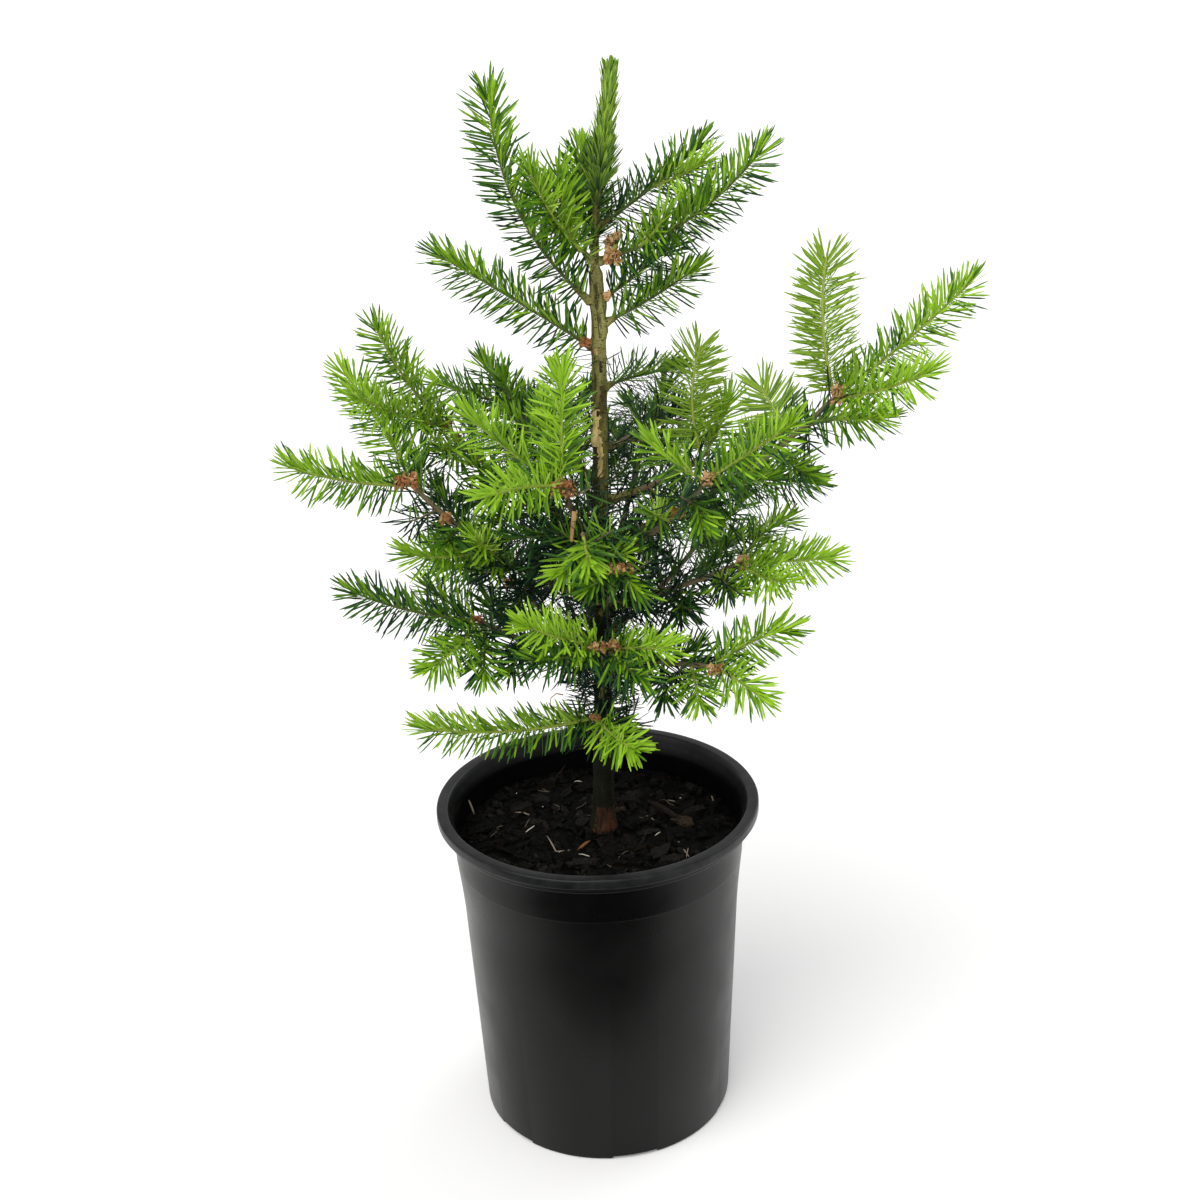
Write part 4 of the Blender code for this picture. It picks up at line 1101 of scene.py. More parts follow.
@dataclass
class Wood:
    """The trunk, the limbs and the dead twig, with the relief of young bark."""

    stem: Stem
    trunk_sides: int = 40
    trunk_step: float = 0.7
    limb_sides: int = 14
    limb_step: float = 1.3
    limb_base_radius: float = 2.3
    limb_tip_radius: float = 1.5
    knobs: tuple[tuple[float, float], ...] = ((252.0, 180.0), (212.0, -60.0), (208.0, 200.0), (232.0, 40.0),
                                              (259.0, -7.0), (270.0, 30.0), (273.0, -170.0), (150.0, 170.0))

    def trunk_relief(self, point: Vector) -> float:
        """Gives how far the trunk's bark stands out at a point."""
        height = point.z - self.stem.mix_level
        ridges = noise.noise(Vector((point.x * 0.9, point.y * 0.9, point.z * 0.16))) * 0.42
        grain = noise.noise(Vector((point.x * 2.2, point.y * 2.2, point.z * 0.9))) * 0.16
        swell = 0.0
        centre = self.stem.centre(height)
        for level, azimuth in self.knobs:
            facing = direction(azimuth, 0).dot((point - centre).normalized())
            if facing > 0:
                swell += 1.1 * facing ** 3 * math.exp(-((height - level) / 3.2) ** 2)
        foot = 1.1 * max(0.0, 1 - height / 140) + 0.6 * math.exp(-max(0.0, height) / 6.0)
        return (ridges + grain) * min(1.0, self.stem.radius(height) / 3.0) + swell + foot

    def limb_relief(self, point: Vector) -> float:
        """Gives how far a limb's bark stands out at a point."""
        return noise.noise(point * 0.8) * 0.2 + noise.noise(point * 2.4) * 0.13

    def trunk(self) -> bmesh.types.BMesh:
        """Makes the trunk's tube."""
        count = round(self.stem.top / self.trunk_step)
        places = []
        for i in range(count + 1):
            height = GAP + (self.stem.top - GAP) * i / count
            heading = (self.stem.centre(height + 2) - self.stem.centre(height - 2)).normalized()
            above = square_to(Vector((0, 1, 0)), heading)
            places.append(ring_place(self.stem.centre(height), heading, above, self.stem.radius(height)))
        bm = sweep(places, self.trunk_sides)
        roughen(bm, self.trunk_relief)
        for vert in bm.verts:
            vert.co.z = max(vert.co.z, self.stem.mix_level - 2.0)
        return bm

    def limb(self, bough: Bough, base: float, tip: float) -> bmesh.types.BMesh:
        """Makes one limb's tube, from inside the trunk's bark on.

        Args:
            bough: The bough it carries.
            base: Its radius at the trunk.
            tip: Its radius at its end.

        Returns:
            Its bmesh.
        """
        path = self.stem.bough_path(bough)
        length = path.length * bough.limb
        count = max(4, round(length / self.limb_step))
        sunk = path.start - direction(bough.azimuth, 0) * 1.6
        places = [ring_place(sunk, direction(bough.azimuth, 0), UP, base * 1.25)]
        for i in range(count + 1):
            share = i / count
            heading = path.heading(share * bough.limb)
            collar = 0.55 * math.exp(-share * length / 2.2)
            radius = base + (tip - base) * share + collar
            places.append(ring_place(path.point(share * bough.limb), heading, square_to(UP, heading), radius))
        bm = sweep(places, self.limb_sides)
        roughen(bm, self.limb_relief)
        return bm

    def build(self) -> None:
        """Makes the wood as one piece."""
        gathered = Gathered()
        gathered.add_bmesh(self.trunk())
        self.mark(gathered)
        for bough in LIMBED_BOUGHS:
            gathered.add_bmesh(self.limb(bough, self.limb_base_radius, self.limb_tip_radius), 4)
        for bough in TRUNK_SHOOTS:
            gathered.add_bmesh(self.limb(replace(bough, limb=0.09), 1.9, 1.1), 4)
        gathered.add_bmesh(self.limb(DEAD_TWIG, 0.9, 0.54), 4)
        nodes = [name for name in NODES if name.startswith("bough_") or name in ("trunk", "dead_twig")]
        finishes = [
            BarkFinish().make(),
            WoundFinish("peeled_wood", (0.46, 0.32, 0.1), (0.85, 0.66, 0.3)).make(),
            WoundFinish("dark_scar", (0.02, 0.014, 0.008), (0.07, 0.045, 0.025)).make(),
            WoundFinish("orange_inner_bark", (0.008, 0.005, 0.003), (0.075, 0.027, 0.009)).make(),
            # The limbs' painted shade is set below their reach, so that they take the lit ramp.
            BarkFinish("limb_bark", painted_shade_below=0.1, painted_light_above=0.2).make(),
            WoundFinish("tan_scar", (0.2, 0.1, 0.04), (0.5, 0.3, 0.13)).make(),
        ]
        settle(gathered.piece("bark", finishes, 70), nodes)

    def mark(self, trunk: Gathered) -> None:
        """Gives the trunk's wounds and scars their own slots.

        Args:
            trunk: The gathered trunk.
        """
        points = np.concatenate(trunk.points)
        for index, face in enumerate(trunk.faces):
            middle = Vector(points[face].mean(axis=0).tolist())
            height = middle.z - self.stem.mix_level
            centre = self.stem.centre(height)
            azimuth = math.degrees(math.atan2(middle.y - centre.y, middle.x - centre.x))
            for mark in BARK_MARKS:
                ragged = 1 + 0.6 * noise.noise(Vector((0.0, 3.0 * mark.low, height * 0.5)))
                if mark.low < height < mark.high and abs(azimuth - mark.azimuth) < mark.half_angle * ragged:
                    trunk.slots[index] = mark.slot


@dataclass(frozen=True)
class Habit:
    """How needles sit on a twig: how many, how long, and how they spread.

    A needle's lift is its angle above the twig's sides: it goes from the first lift, on the
    under side, through the two side lifts to the last, on the upper side.
    """

    per_mm: float = 3.3
    side_length: float = 15.6
    top_length: float = 12.5
    root_spread: float = 76.0
    body_spread: float = 58.0
    tip_spread: float = 20.0
    tip_reach: float = 13.0
    bare_root: float = 3.0
    top_forward: float = 14.0
    lifts: tuple[float, float, float, float] = (-42.0, -8.0, 20.0, 84.0)
    wander: float = 11.0
    curve: float = 0.11


SUN_HABIT = Habit()
FLAT_HABIT = Habit(per_mm=4.4, side_length=18.0, top_length=9.0, root_spread=80.0, body_spread=70.0, tip_spread=26.0,
                   tip_reach=11.0, lifts=(-24.0, -6.0, 6.0, 60.0), wander=6.0)
INNER_HABIT = Habit(per_mm=1.6, side_length=17.0, top_length=15.0, root_spread=80.0, body_spread=62.0,
                    tip_spread=48.0, lifts=(-80.0, -25.0, 25.0, 85.0), wander=18.0, curve=0.14)
OLD_HABIT = replace(INNER_HABIT, per_mm=1.0)


@dataclass
class NeedleShape:
    """One flat needle: grooved above, keeled below, blunt at its tip."""

    width: float = 1.02
    groove: float = 0.1
    keel: float = 0.24
    stations: tuple[tuple[float, float], ...] = ((0.0, 0.42), (0.12, 0.9), (0.82, 0.98), (1.0, 0.34))

    def corners(self) -> np.ndarray:
        """Gives each point as share of the length, width and height."""
        rows = []
        for along, girth in self.stations:
            half = self.width / 2 * girth
            rows += [(along, half, 0.0), (along, 0.0, -self.groove * girth),
                     (along, -half, 0.0), (along, 0.0, -self.keel * girth)]
        return np.array(rows)

    def faces(self) -> tuple[np.ndarray, np.ndarray]:
        """Gives the faces, and the slot of each: 0 above and 1 below."""
        faces, slots = [], []
        for i in range(len(self.stations) - 1):
            for j in range(4):
                a, b = 4 * i + j, 4 * i + (j + 1) % 4
                faces.append((a, b, b + 4, a + 4))
                slots.append(0 if j < 2 else 1)
        last = 4 * (len(self.stations) - 1)
        faces += [(3, 2, 1, 0), (last, last + 1, last + 2, last + 3)]
        return np.array(faces), np.array(slots + [1, 0])


class Needles:
    """All the needles, kept by tone until their pieces are made."""

    def __init__(self, stem: Stem, shape: NeedleShape, thin_shape: NeedleShape) -> None:
        """Starts with no needles.

        Args:
            stem: The trunk that they keep off.
            shape: The needle that most are copies of.
            thin_shape: The needle that the shaded ones are copies of.
        """
        self.stem = stem
        self.shapes = {tone: thin_shape if tone in (Tone.SHADE, Tone.DEEP) else shape for tone in Tone}
        self.draw = np.random.default_rng(SEED)
        self.rows: dict[Tone, list[np.ndarray]] = {tone: [] for tone in Tone}

    def near_tones(self, tone: Tone, top: np.ndarray, share: np.ndarray) -> np.ndarray:
        """Draws each needle's tone near its spray's own, lighter on top and towards the tip: painted light on the upper
        side, painted shade on the under side and near the root.

        Args:
            tone: The spray's tone.
            top: How far each needle stands to the upper side, from -1 to 1.
            share: How far along the twig each one is.

        Returns:
            The tones' places in the list of tones.
        """
        order = list(Tone)
        if tone is Tone.PALE:
            fresh = self.draw.uniform(size=len(top)) < 0.35
            return np.where(fresh, order.index(Tone.BRIGHT), order.index(Tone.PALE))
        # Painted light and shade: upper needles and those near the tip are drawn lighter, under and inner ones darker,
        # with a random spread on top.
        value = 0.9 * top + 1.4 * (share - 0.75) + self.draw.normal(0, 0.95, len(top))
        lighter = np.clip(np.round(value), -3, 2)
        return np.clip(order.index(tone) - lighter, 0, order.index(Tone.SHADE)).astype(int)

    def grow(self, stretch: Stretch, habit: Habit, twig_radius: float) -> None:
        """Grows the needles of one twig, turned round it by the golden angle and combed to its sides.

        Args:
            stretch: The twig.
            habit: How its needles sit.
            twig_radius: The twig's radius.
        """
        bare = min(0.3, habit.bare_root / stretch.length) if stretch.pointed and stretch.start == 0.0 else 0.0
        count = max(4, round(stretch.length * (1 - bare) * habit.per_mm))
        share = bare + (1 - bare) * (np.arange(count) + self.draw.uniform(0.2, 0.8, count)) / count
        turn = np.arange(count) * math.radians(137.5) + self.draw.uniform(-0.3, 0.3, count)
        centres, headings, aboves = [], [], []
        for value in share:
            at = stretch.at(float(value))
            heading = stretch.path.heading(at)
            centres.append(stretch.path.point(at))
            headings.append(heading)
            aboves.append(stretch.upper_side(heading))
        centres, headings, aboves = np.array(centres), np.array(headings), np.array(aboves)
        across = np.cross(headings, aboves)
        side = np.where(np.sin(turn) >= 0, 1.0, -1.0)
        top = np.cos(turn)
        lift = np.radians(np.interp(top, (-1.0, -0.35, 0.3, 1.0), habit.lifts)
                          + self.draw.normal(0, habit.wander, count))
        from_tip = (1 - share) * stretch.length
        near_tip = np.clip(1 - from_tip / habit.tip_reach, 0, 1) if stretch.pointed else np.zeros(count)
        spread = np.interp(share, (0, 1), (habit.root_spread, habit.body_spread))
        spread -= habit.top_forward * np.clip(top, 0, 1)
        spread = spread * (1 - near_tip) + habit.tip_spread * near_tip
        spread = np.radians(spread + self.draw.normal(0, habit.wander, count))
        length = np.interp(np.clip(top, 0, 1), (0, 1), (habit.side_length, habit.top_length))
        length *= np.clip(0.7 + share * stretch.length / 26.0, 0, 1) * self.draw.uniform(0.82, 1.06, count)
        length *= 1 - 0.25 * near_tip
        out = across * (side * np.cos(lift))[:, None] + aboves * np.sin(lift)[:, None]
        aim = unit_rows(headings * np.cos(spread)[:, None] + out * np.sin(spread)[:, None])
        root = centres + out * twig_radius * 0.6
        face = aboves + headings * 0.6 + self.draw.normal(0, 0.3, (count, 3))
        face = unit_rows(face - aim * (face * aim).sum(1)[:, None])
        curve = unit_rows(headings * 0.7 + aboves * 0.7 + self.draw.normal(0, 0.35, (count, 3)))
        bow = length * habit.curve * self.draw.uniform(0.2, 1.8, count)
        self.store(root, aim, face, curve, length, bow, self.near_tones(stretch.tone, top, share))

    def grow_round(self, spreads: Sequence[tuple[float, float]], count: int, length: float,
                   tones: Sequence[Tone]) -> None:
        """Grows needles all round the trunk between two heights.

        Args:
            spreads: Heights above the mix, lowest first, each with how far needles lean off the trunk there.
            count: How many there are.
            length: Their length.
            tones: The tones they are drawn from.
        """
        levels, leans = zip(*spreads)
        low, high = levels[0], levels[-1]
        share = np.sort(self.draw.uniform(0, 1, count))
        turn = self.draw.uniform(0, math.tau, count)
        heights = low + (high - low) * share
        centres = np.array([self.stem.centre(float(h)) for h in heights])
        radii = np.array([self.stem.radius(float(h)) for h in heights])
        ahead = np.array([self.stem.centre(float(h) + 3) for h in heights])
        headings = unit_rows(ahead - centres)
        out = np.stack([np.cos(turn), np.sin(turn), np.zeros(count)], axis=1)
        lean = np.radians(np.interp(heights, levels, leans) + self.draw.normal(0, 5, count))
        aim = unit_rows(headings * np.cos(lean)[:, None] + out * np.sin(lean)[:, None])
        face = headings * 1.0 - out * 0.4 + self.draw.normal(0, 0.2, (count, 3))
        face = unit_rows(face - aim * (face * aim).sum(1)[:, None])
        lengths = length * self.draw.uniform(0.8, 1.05, count)
        order = list(Tone)
        drawn = self.draw.choice([order.index(tone) for tone in tones], count)
        self.store(centres + out * radii[:, None] * 0.8, aim, face, headings, lengths, lengths * 0.06, drawn)

    def store(self, root: np.ndarray, aim: np.ndarray, face: np.ndarray, curve: np.ndarray, length: np.ndarray,
              bow: np.ndarray, tones: np.ndarray) -> None:
        """Keeps the needles that stay off the trunk, the mix and the pot, by tone.

        Args:
            root: Where each starts.
            aim: Where each points.
            face: Where its upper side faces.
            curve: Where its tip bends to.
            length: Its length.
            bow: How far its tip bends.
            tones: Its tone's place in the list of tones.
        """
        tip = root + aim * length[:, None] + curve * bow[:, None]
        middle = root + aim * length[:, None] * 0.6
        heights = middle[:, 2] - self.stem.mix_level
        axis = np.array([self.stem.centre(float(max(0.0, h))) for h in heights])
        off_axis = np.linalg.norm((middle - axis)[:, :2], axis=1)
        kept = (off_axis > 4.6) | (heights > 285)
        kept &= tip[:, 2] > self.stem.mix_level + 3
        low, high = np.array(CAD_BOX[0]) / MM, np.array(CAD_BOX[1]) / MM
        kept &= (tip > low + 0.5).all(axis=1) & (tip < high - 0.5).all(axis=1)
        in_wall = (np.linalg.norm(tip[:, :2], axis=1) > 73.0) & (tip[:, 2] < 177.0)
        kept &= ~in_wall
        rows = np.concatenate([root, aim, face, curve, length[:, None], bow[:, None]], axis=1)
        for i, tone in enumerate(Tone):
            chosen = rows[kept & (tones == i)]
            if len(chosen):
                self.rows[tone].append(chosen)

    def piece(self, tone: Tone, finishes: Sequence[bpy.types.Material], nodes: Sequence[str]) -> None:
        """Makes the piece of one tone.

        Args:
            tone: The tone.
            finishes: The materials of the upper and the under side.
            nodes: The solids that it stands for.
        """
        if not self.rows[tone]:
            return
        rows = np.concatenate(self.rows[tone])
        corners = self.shapes[tone].corners()
        faces, slots = self.shapes[tone].faces()
        root, aim, face, curve = (rows[:, 3 * i:3 * i + 3][:, None, :] for i in range(4))
        length, bow = rows[:, 12][:, None, None], rows[:, 13][:, None, None]
        side = np.cross(aim, face)
        along, wide, high = (corners[:, i][None, :, None] for i in range(3))
        points = root + aim * along * length + side * wide + face * high + curve * bow * along ** 2
        count, each = len(rows), len(corners)
        shifted = (faces[None] + (np.arange(count) * each)[:, None, None]).reshape(-1, 4)
        gathered = Gathered()
        gathered.points.append(points.reshape(-1, 3))
        gathered.faces = shifted.tolist()
        gathered.slots = np.tile(slots, count)
        settle(gathered.piece(f"needles_{tone.value}", finishes), nodes)


@dataclass(frozen=True)
class LeafTone:
    """The colours of one tone of needle."""

    upper: tuple[float, float, float]
    under: tuple[float, float, float]

    def make(self, tone: Tone) -> list[bpy.types.Material]:
        """Makes the materials of the upper and the under side."""
        return [
            PlainFinish(f"needle_{tone.value}_upper", self.upper, 0.45, 0.2).make(),
            PlainFinish(f"needle_{tone.value}_under", self.under, 0.65, 0.12).make(),
        ]


# The deep and shade tones are partly the needles' own darker green and partly painted shade, for the crown's inside.
LEAF_TONES = {
    Tone.LIME: LeafTone((0.31, 0.54, 0.03), (0.38, 0.56, 0.08)),
    Tone.BRIGHT: LeafTone((0.19, 0.37, 0.012), (0.28, 0.44, 0.05)),
    Tone.FRESH: LeafTone((0.088, 0.215, 0.011), (0.17, 0.3, 0.045)),
    Tone.MID: LeafTone((0.038, 0.118, 0.015), (0.1, 0.195, 0.045)),
    Tone.DEEP: LeafTone((0.012, 0.046, 0.013), (0.04, 0.09, 0.034)),
    Tone.SHADE: LeafTone((0.005, 0.02, 0.01), (0.016, 0.042, 0.024)),
    Tone.PALE: LeafTone((0.13, 0.29, 0.012), (0.22, 0.37, 0.032)),
}


@dataclass(frozen=True)
class BudCluster:
    """A cluster of old bud scales: where on its bough, how wide and tall, how pale, and how far off it."""

    bough: str
    along: float
    wide: float = 4.0
    tall: float = 3.0
    tan: float = 0.4
    lift: float = 0.8
    ahead: float = 2.2


BUD_CLUSTERS = (
    BudCluster("front_middle", 0.99, 15.0, 3.6, 0.65, 0.8, 6.5),
    BudCluster("front_low", 0.99, 15.0, 4.4, 0.5, 0.8, 5.0),
    BudCluster("front_left", 0.93, 11.0, 7.5, 0.3, 0.8, 4.0),
    BudCluster("left_far", 1.0, 10.0, 6.5, 0.25, 0.8, 4.0),
    BudCluster("left_far", 0.76, 5.0, 4.0, 0.3, 0.8, 3.5),
    BudCluster("left_far", 0.56, 4.0, 3.5, 0.3, 0.8, 3.5),
    BudCluster("left_high", 0.99, 6.5, 6.5, 0.6, 0.8, 3.5),
    BudCluster("left_high", 0.9, 3.0, 2.5, 0.1),
    BudCluster("right_far", 0.98, 5.5, 8.5, 0.9, 1.5, 3.5),
    BudCluster("right_far", 0.58, 3.5, 3.0, 0.1),
    BudCluster("right_low", 1.0, 6.0, 7.0, 0.8, 0.8, 3.5),
    BudCluster("right_bottom", 1.0, 6.5, 5.0, 0.6, 0.8, 3.5),
    BudCluster("front_right", 0.99, 5.0, 5.5, 0.8),
    BudCluster("front_right", 0.67, 6.0, 5.0, 0.1, 0.8, 3.5),
    BudCluster("left_low", 1.0, 4.0, 2.5, 0.2),
    BudCluster("back_left_low", 0.83, 3.5, 3.0, 0.4),
    BudCluster("bottom", 0.98, 4.0, 2.5, 0.3),
    BudCluster("back_left", 0.16, 3.0, 3.0, 0.0),
    BudCluster("top_right_long", 0.06, 6.5, 14.0, 0.85, 5.0, 5.0),
    BudCluster("upper_left", 0.03, 4.0, 3.5, 0.1),
    BudCluster("upper_right_back", 0.02, 3.0, 3.0, 0.7),
)


# Loose scraps in the crown, at their own places: a splinter and two curls of bark.
SCRAPS = (
    Strand(((-5.2, -32.0, 341.0), (-5.8, -33.0, 337.5), (-6.7, -33.5, 332.5), (-7.3, -33.0, 327.0)), 1.5, 1),
    Strand(((-15.0, -8.0, 237.5), (-18.2, -9.5, 239.0), (-21.0, -9.0, 236.5), (-21.6, -8.0, 231.5),
            (-19.5, -8.0, 226.5)), 0.35, 1),
    Strand(((-20.5, -8.0, 231.0), (-17.0, -10.0, 231.8), (-14.6, -9.0, 229.5)), 0.3, 1),
)


@dataclass
class Crown:
    """The twigs, needles and bud scales that grow on from the limbs."""

    stem: Stem
    sunk_along: float = 0.98
    root_stagger: float = 0.45
    tip_needles: float = 7.0
    base_radius: float = 0.85
    tip_radius: float = 0.45
    inner_alongs: tuple[float, ...] = (0.16, 0.27, 0.38, 0.49, 0.6, 0.71, 0.82)
    open_boughs: tuple[str, ...] = ("right_far", "right_middle", "front_right", "back_right", "right_low")
    twig_sides: int = 8
    twig_step: float = 3.0
    old: list[Stretch] = field(default_factory=list)
    young: list[Stretch] = field(default_factory=list)
    inner: list[Stretch] = field(default_factory=list)
    draw: random.Random = field(default_factory=lambda: random.Random(SEED))

    def plan(self) -> None:
        """Lays out every twig: each bough's own stem, then its side shoots."""
        for bough in (*LIMBED_BOUGHS, *TRUNK_SHOOTS):
            path = self.stem.bough_path(bough)
            goes_on = any(shoot.along > 0.9 for shoot in bough.shoots)
            end = 1.0 if goes_on else 1 - self.tip_needles / path.length
            own = Stretch(path, bough.azimuth, bough.roll, bough.tone, bough.limb, end, not goes_on, goes_on)
            (self.old if goes_on else self.young).append(own)
            for i, shoot in enumerate(bough.shoots):
                root = path.point(min(shoot.along, self.sunk_along) - i * self.root_stagger / path.length)
                side = Path(root, shoot.azimuth, shoot.rise, shoot.length, shoot.bend)
                self.young.append(Stretch(side, shoot.azimuth, shoot.roll, shoot.tone, 0.0,
                                          1 - self.tip_needles / shoot.length))
        for bough in LIMBED_BOUGHS:
            self.plan_inner(bough)
        paths = {bough.name: self.stem.bough_path(bough) for bough in (*LIMBED_BOUGHS, *TRUNK_SHOOTS)}
        for name, shoot in FINER_TWIGS:
            side = Path(paths[name].point(shoot.along), shoot.azimuth, shoot.rise, shoot.length, shoot.bend)
            self.young.append(Stretch(side, shoot.azimuth, 0.0, shoot.tone, 0.0, 1 - 6 / shoot.length))

    def plan_inner(self, bough: Bough) -> None:
        """Lays out the short, shaded twigs that fill the crown's inside.

        Args:
            bough: The bough that they grow on.
        """
        path = self.stem.bough_path(bough)
        alongs = self.inner_alongs[::2] if bough.name in self.open_boughs else self.inner_alongs
        for i, along in enumerate(alongs):
            side = -1 if i % 2 else 1
            azimuth = bough.azimuth + side * self.draw.uniform(45, 75)
            length = self.draw.uniform(16, 31)
            twig = Path(path.point(along), azimuth, bough.rise * 0.5 + self.draw.uniform(-22, 26), length, 0.05)
            # The inner twigs take the darkest tones, partly painted shade for the crown's inside.
            tone = self.draw.choice((Tone.SHADE, Tone.SHADE, Tone.DEEP, Tone.DEEP, Tone.MID))
            self.inner.append(Stretch(twig, azimuth, 0.0, tone, 0.0, 1 - 5 / length))

    def twig(self, stretch: Stretch, base: float, tip: float) -> bmesh.types.BMesh:
        """Makes one twig's tube, with a blunt end.

        Args:
            stretch: The twig.
            base: Its radius at its root.
            tip: Its radius at its end.

        Returns:
            Its bmesh.
        """
        count = max(3, round(stretch.length / self.twig_step))
        places = []
        for i in range(count + 1):
            at = stretch.at(i / count)
            heading = stretch.path.heading(at)
            radius = base + (tip - base) * i / count
            places.append(ring_place(stretch.path.point(at), heading, stretch.upper_side(heading), radius))
        heading = stretch.path.heading(stretch.end)
        end = stretch.path.point(stretch.end) + heading * tip
        places.append(ring_place(end, heading, stretch.upper_side(heading), tip * 0.4))
        return sweep(places, self.twig_sides)

    def twigs(self, nodes: Sequence[str]) -> None:
        """Makes the brown older twigs and the green new ones."""
        brown = PlainFinish("brown_twig", (0.19, 0.15, 0.085), 0.75, 0.3).make()
        fresh = PlainFinish("fresh_green_twig", (0.32, 0.38, 0.06), 0.6, 0.3).make()
        dull = PlainFinish("dull_green_twig", (0.1, 0.13, 0.03), 0.65, 0.3).make()
        gathered = Gathered()
        for stretch in self.old:
            gathered.add_bmesh(self.twig(stretch, 1.5, 1.2), 0)
        for stretch in self.inner:
            gathered.add_bmesh(self.twig(stretch, 0.6, 0.35), 0)
        for stretch in self.young:
            bright = stretch.tone in (Tone.LIME, Tone.BRIGHT, Tone.PALE)
            gathered.add_bmesh(self.twig(stretch, self.base_radius, self.tip_radius), 1 if bright else 2)
        settle(gathered.piece("twigs", [brown, fresh, dull], 60), nodes)

    def needles(self, nodes: Sequence[str]) -> None:
        """Grows the needles of every twig, the leader and the trunk."""
        field_of = Needles(self.stem, NeedleShape(), NeedleShape(width=0.88))
        for stretch in self.young:
            field_of.grow(stretch, FLAT_HABIT if stretch.roll == 180 else SUN_HABIT, self.base_radius)
        for stretch in self.old:
            field_of.grow(stretch, OLD_HABIT, 1.4)
        for stretch in self.inner:
            field_of.grow(stretch, INNER_HABIT, 0.6)
        # The limbs' needles take the shade tone, partly painted shade for the crown's inside.
        for bough in LIMBED_BOUGHS:
            limb = Stretch(self.stem.bough_path(bough), bough.azimuth, 0.0, Tone.SHADE, 0.06, bough.limb, False)
            field_of.grow(limb, OLD_HABIT, 1.8)
        field_of.grow_round(((298, 80), (316, 60), (334, 32)), 210, 13.5, (Tone.MID, Tone.FRESH, Tone.DEEP))
        field_of.grow_round(((322, 40), (340, 21), (self.stem.top, 12)), 560, 12.0,
                            (Tone.PALE, Tone.FRESH, Tone.BRIGHT, Tone.FRESH))
        # The needles low on the trunk take the darkest tones, partly painted shade under the crown.
        field_of.grow_round(((56, 92), (100, 76), (150, 58)), 560, 18.0, (Tone.SHADE, Tone.SHADE, Tone.DEEP))
        field_of.grow_round(((150, 70), (190, 80), (252, 92)), 95, 16.0, (Tone.SHADE, Tone.DEEP))
        for tone in Tone:
            field_of.piece(tone, LEAF_TONES[tone].make(tone), nodes)

    def bud_scales(self) -> None:
        """Makes the clusters of curled bud scales where shoots part."""
        rust = PlainFinish("rusty_bud_scale", (0.33, 0.135, 0.05), 0.6, 0.3).make()
        tan = PlainFinish("tan_bud_scale", (0.56, 0.34, 0.15), 0.65, 0.3).make()
        draw = random.Random(SEED)
        gathered = Gathered()
        paths = {bough.name: self.stem.bough_path(bough) for bough in (*LIMBED_BOUGHS, *TRUNK_SHOOTS)}
        for cluster in BUD_CLUSTERS:
            centre = paths[cluster.bough].point(cluster.along) + UP * cluster.lift
            for _ in range(round(12 + 2.6 * cluster.wide * max(1.0, cluster.tall / 3.5))):
                bm = bmesh.new()
                bmesh.ops.create_icosphere(bm, subdivisions=2, radius=1.0)
                for vert in bm.verts:
                    vert.co.z = vert.co.z * 0.28 + 0.35 * vert.co.x ** 2
                bmesh.ops.scale(bm, vec=(1.5, 0.95, 1.1), verts=bm.verts)
                turn = Matrix.Rotation(draw.uniform(0, math.tau), 4, "Z")
                turn = turn @ Matrix.Rotation(draw.uniform(-1.4, 1.4), 4, "Y")
                turn = turn @ Matrix.Rotation(draw.uniform(-1.4, 1.4), 4, "X")
                off = Vector((draw.uniform(-0.5, 0.5) * cluster.wide, draw.gauss(0, 0.8) - cluster.ahead,
                              draw.uniform(-0.5, 0.5) * cluster.tall))
                bmesh.ops.transform(bm, matrix=Matrix.Translation(centre + off) @ turn, verts=bm.verts)
                gathered.add_bmesh(bm, 1 if draw.random() < cluster.tan else 0)
        for scrap in SCRAPS:
            points = [Vector(point) for point in scrap.points]
            places = []
            for i, point in enumerate(points):
                heading = (points[min(i + 1, len(points) - 1)] - points[max(i - 1, 0)]).normalized()
                place = ring_place(point, heading, square_to(Vector((0, -1, 0)), heading),
                                   scrap.radius * (1 - 0.6 * i / len(points)))
                places.append(place)
            gathered.add_bmesh(sweep(places, 6), scrap.slot)
        settle(gathered.piece("bud_scales", [rust, tan], 60), [])

    def build(self) -> None:
        """Makes the crown."""
        self.plan()
        nodes = [name for name in NODES if name.startswith("foliage_")]
        self.twigs(nodes)
        self.needles(nodes)
        self.bud_scales()


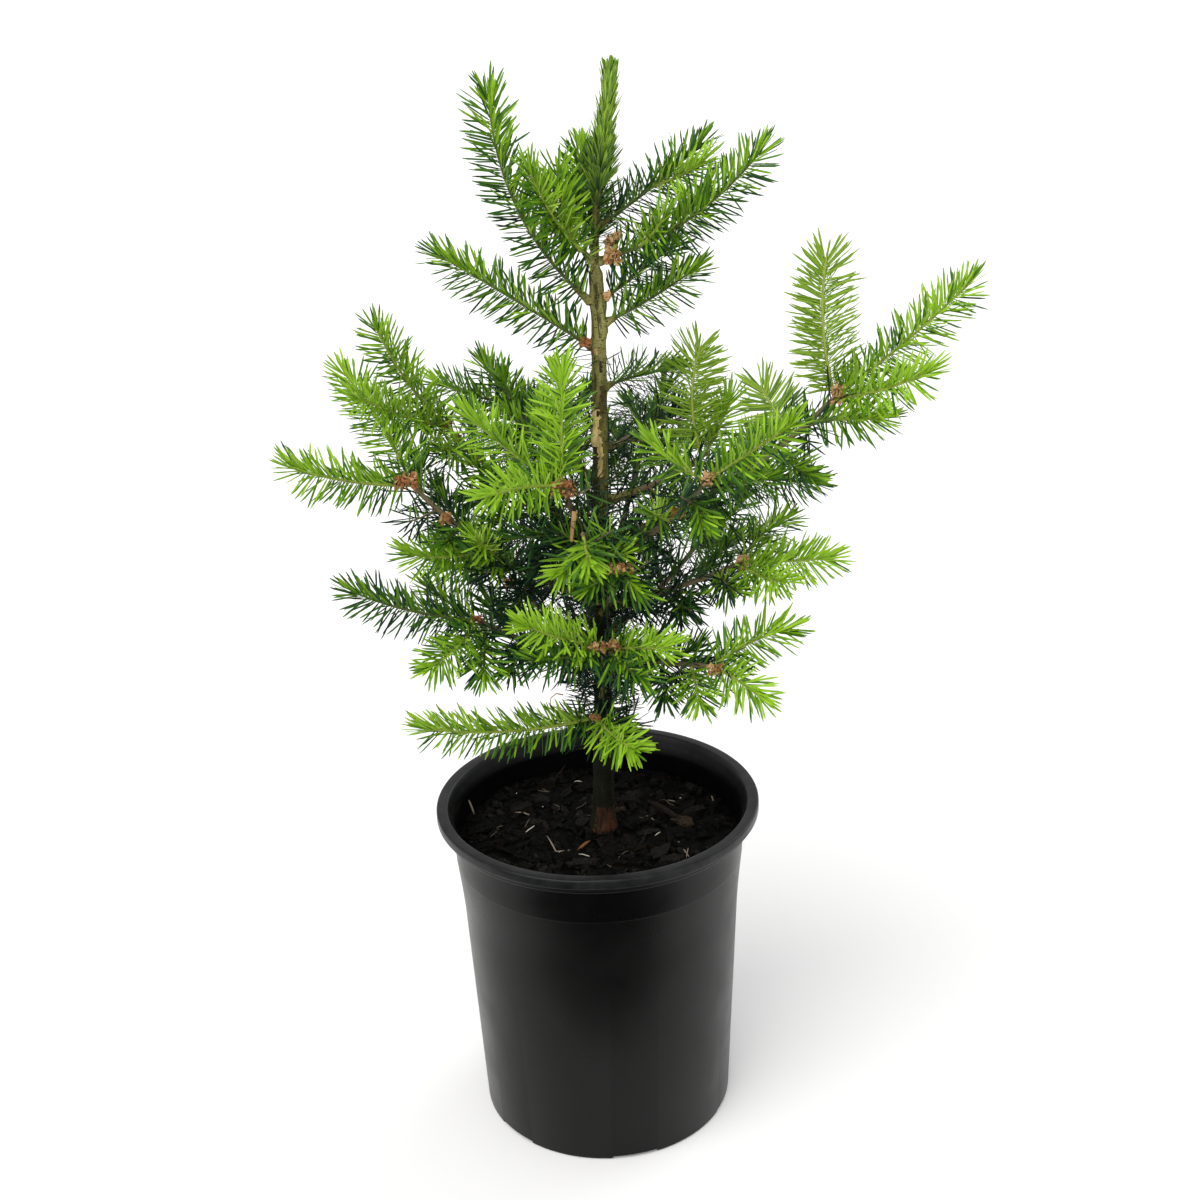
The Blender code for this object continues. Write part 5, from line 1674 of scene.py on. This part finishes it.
@dataclass
class Studio:
    """The pale floor, the soft lights and the camera."""

    camera_place: tuple[float, float, float] = (0.0, -771.2, 594.0)
    pitch: float = 0.3823
    roll: float = -0.0372
    pan: float = 0.0066
    focal_pixels: float = 1702.5
    frame_pixels: float = 1200.0
    sensor: float = 36.0

    def camera(self) -> None:
        """Sets the camera where the photograph was taken from."""
        ahead = Vector((math.sin(self.pan) * math.cos(self.pitch), math.cos(self.pan) * math.cos(self.pitch),
                        -math.sin(self.pitch)))
        right = Vector((math.cos(self.pan), -math.sin(self.pan), 0.0))
        above = right.cross(ahead)
        turned_right = right * math.cos(self.roll) + above * math.sin(self.roll)
        turned_up = above * math.cos(self.roll) - right * math.sin(self.roll)
        axes = Matrix((turned_right, turned_up, -ahead)).transposed().to_4x4()
        data = bpy.data.cameras.new("camera")
        data.sensor_width = self.sensor
        data.lens = self.focal_pixels / self.frame_pixels * self.sensor
        camera = bpy.data.objects.new("camera", data)
        camera.matrix_world = Matrix.Translation(Vector(self.camera_place) * MM) @ axes
        bpy.context.scene.collection.objects.link(camera)
        bpy.context.scene.camera = camera

    def light(self, name: str, towards: tuple[float, float, float], width: float, power: float,
              colour: tuple[float, float, float]) -> None:
        """Adds one wide, soft light that shines evenly over the whole studio.

        Args:
            name: Its name.
            towards: The direction that it is seen in from the plant.
            width: Its angle across, in degrees.
            power: Its strength in watts for each square metre.
            colour: Its red, green and blue.
        """
        data = bpy.data.lights.new(name, "SUN")
        data.angle = math.radians(width)
        data.energy = power
        data.color = colour
        lamp = bpy.data.objects.new(name, data)
        lamp.location = Vector(towards)
        lamp.rotation_euler = (-Vector(towards)).to_track_quat("-Z", "Y").to_euler()
        bpy.context.scene.collection.objects.link(lamp)

    def floor(self) -> None:
        """Lays the pale floor."""
        bm = bmesh.new()
        bmesh.ops.create_grid(bm, x_segments=1, y_segments=1, size=60.0)
        mesh = bpy.data.meshes.new("pale_floor")
        bm.to_mesh(mesh)
        bm.free()
        mesh.materials.append(PlainFinish("pale_floor", (0.96, 0.96, 0.96), 0.9, 0.0).make())
        floor = bpy.data.objects.new("pale_floor", mesh)
        bpy.context.scene.collection.objects.link(floor)

    def card(self) -> None:
        """Lays a dark card in front of the pot, which shows only as its soft reflection."""
        bm = bmesh.new()
        bmesh.ops.create_grid(bm, x_segments=1, y_segments=1, size=0.5)
        bmesh.ops.scale(bm, vec=(0.9, 2.6, 1.0), verts=bm.verts)
        bmesh.ops.translate(bm, vec=(-0.15, -1.46, 0.001), verts=bm.verts)
        mesh = bpy.data.meshes.new("dark_card")
        bm.to_mesh(mesh)
        bm.free()
        mesh.materials.append(PlainFinish("dark_card", (0.004, 0.004, 0.004), 1.0, 0.0).make())
        card = bpy.data.objects.new("dark_card", mesh)
        card.visible_camera = False
        card.visible_diffuse = False
        card.visible_shadow = False
        bpy.context.scene.collection.objects.link(card)

    def build(self) -> None:
        """Sets up the studio."""
        self.camera()
        self.floor()
        self.card()
        self.light("key", (-0.55, -0.75, 1.0), 60.0, 2.1, (1.0, 0.99, 0.96))
        self.light("rim", (0.8, 0.7, 0.7), 40.0, 0.6, (0.97, 0.99, 1.0))
        world = bpy.data.worlds.new("soft_sky")
        world.use_nodes = True
        world.node_tree.nodes["Background"].inputs["Color"].default_value = (1.0, 1.0, 1.0, 1.0)
        world.node_tree.nodes["Background"].inputs["Strength"].default_value = 0.68
        bpy.context.scene.world = world
        bpy.context.scene.view_settings.view_transform = "Standard"


def main() -> None:
    """Builds the plant, its pot and the studio."""
    logging.basicConfig(level=logging.INFO, format="%(name)s %(message)s")
    stem = Stem()
    Studio().build()
    Pot().build()
    PottingMix().build()
    Wood(stem).build()
    Crown(stem).build()


if __name__ == "__main__":
    main()
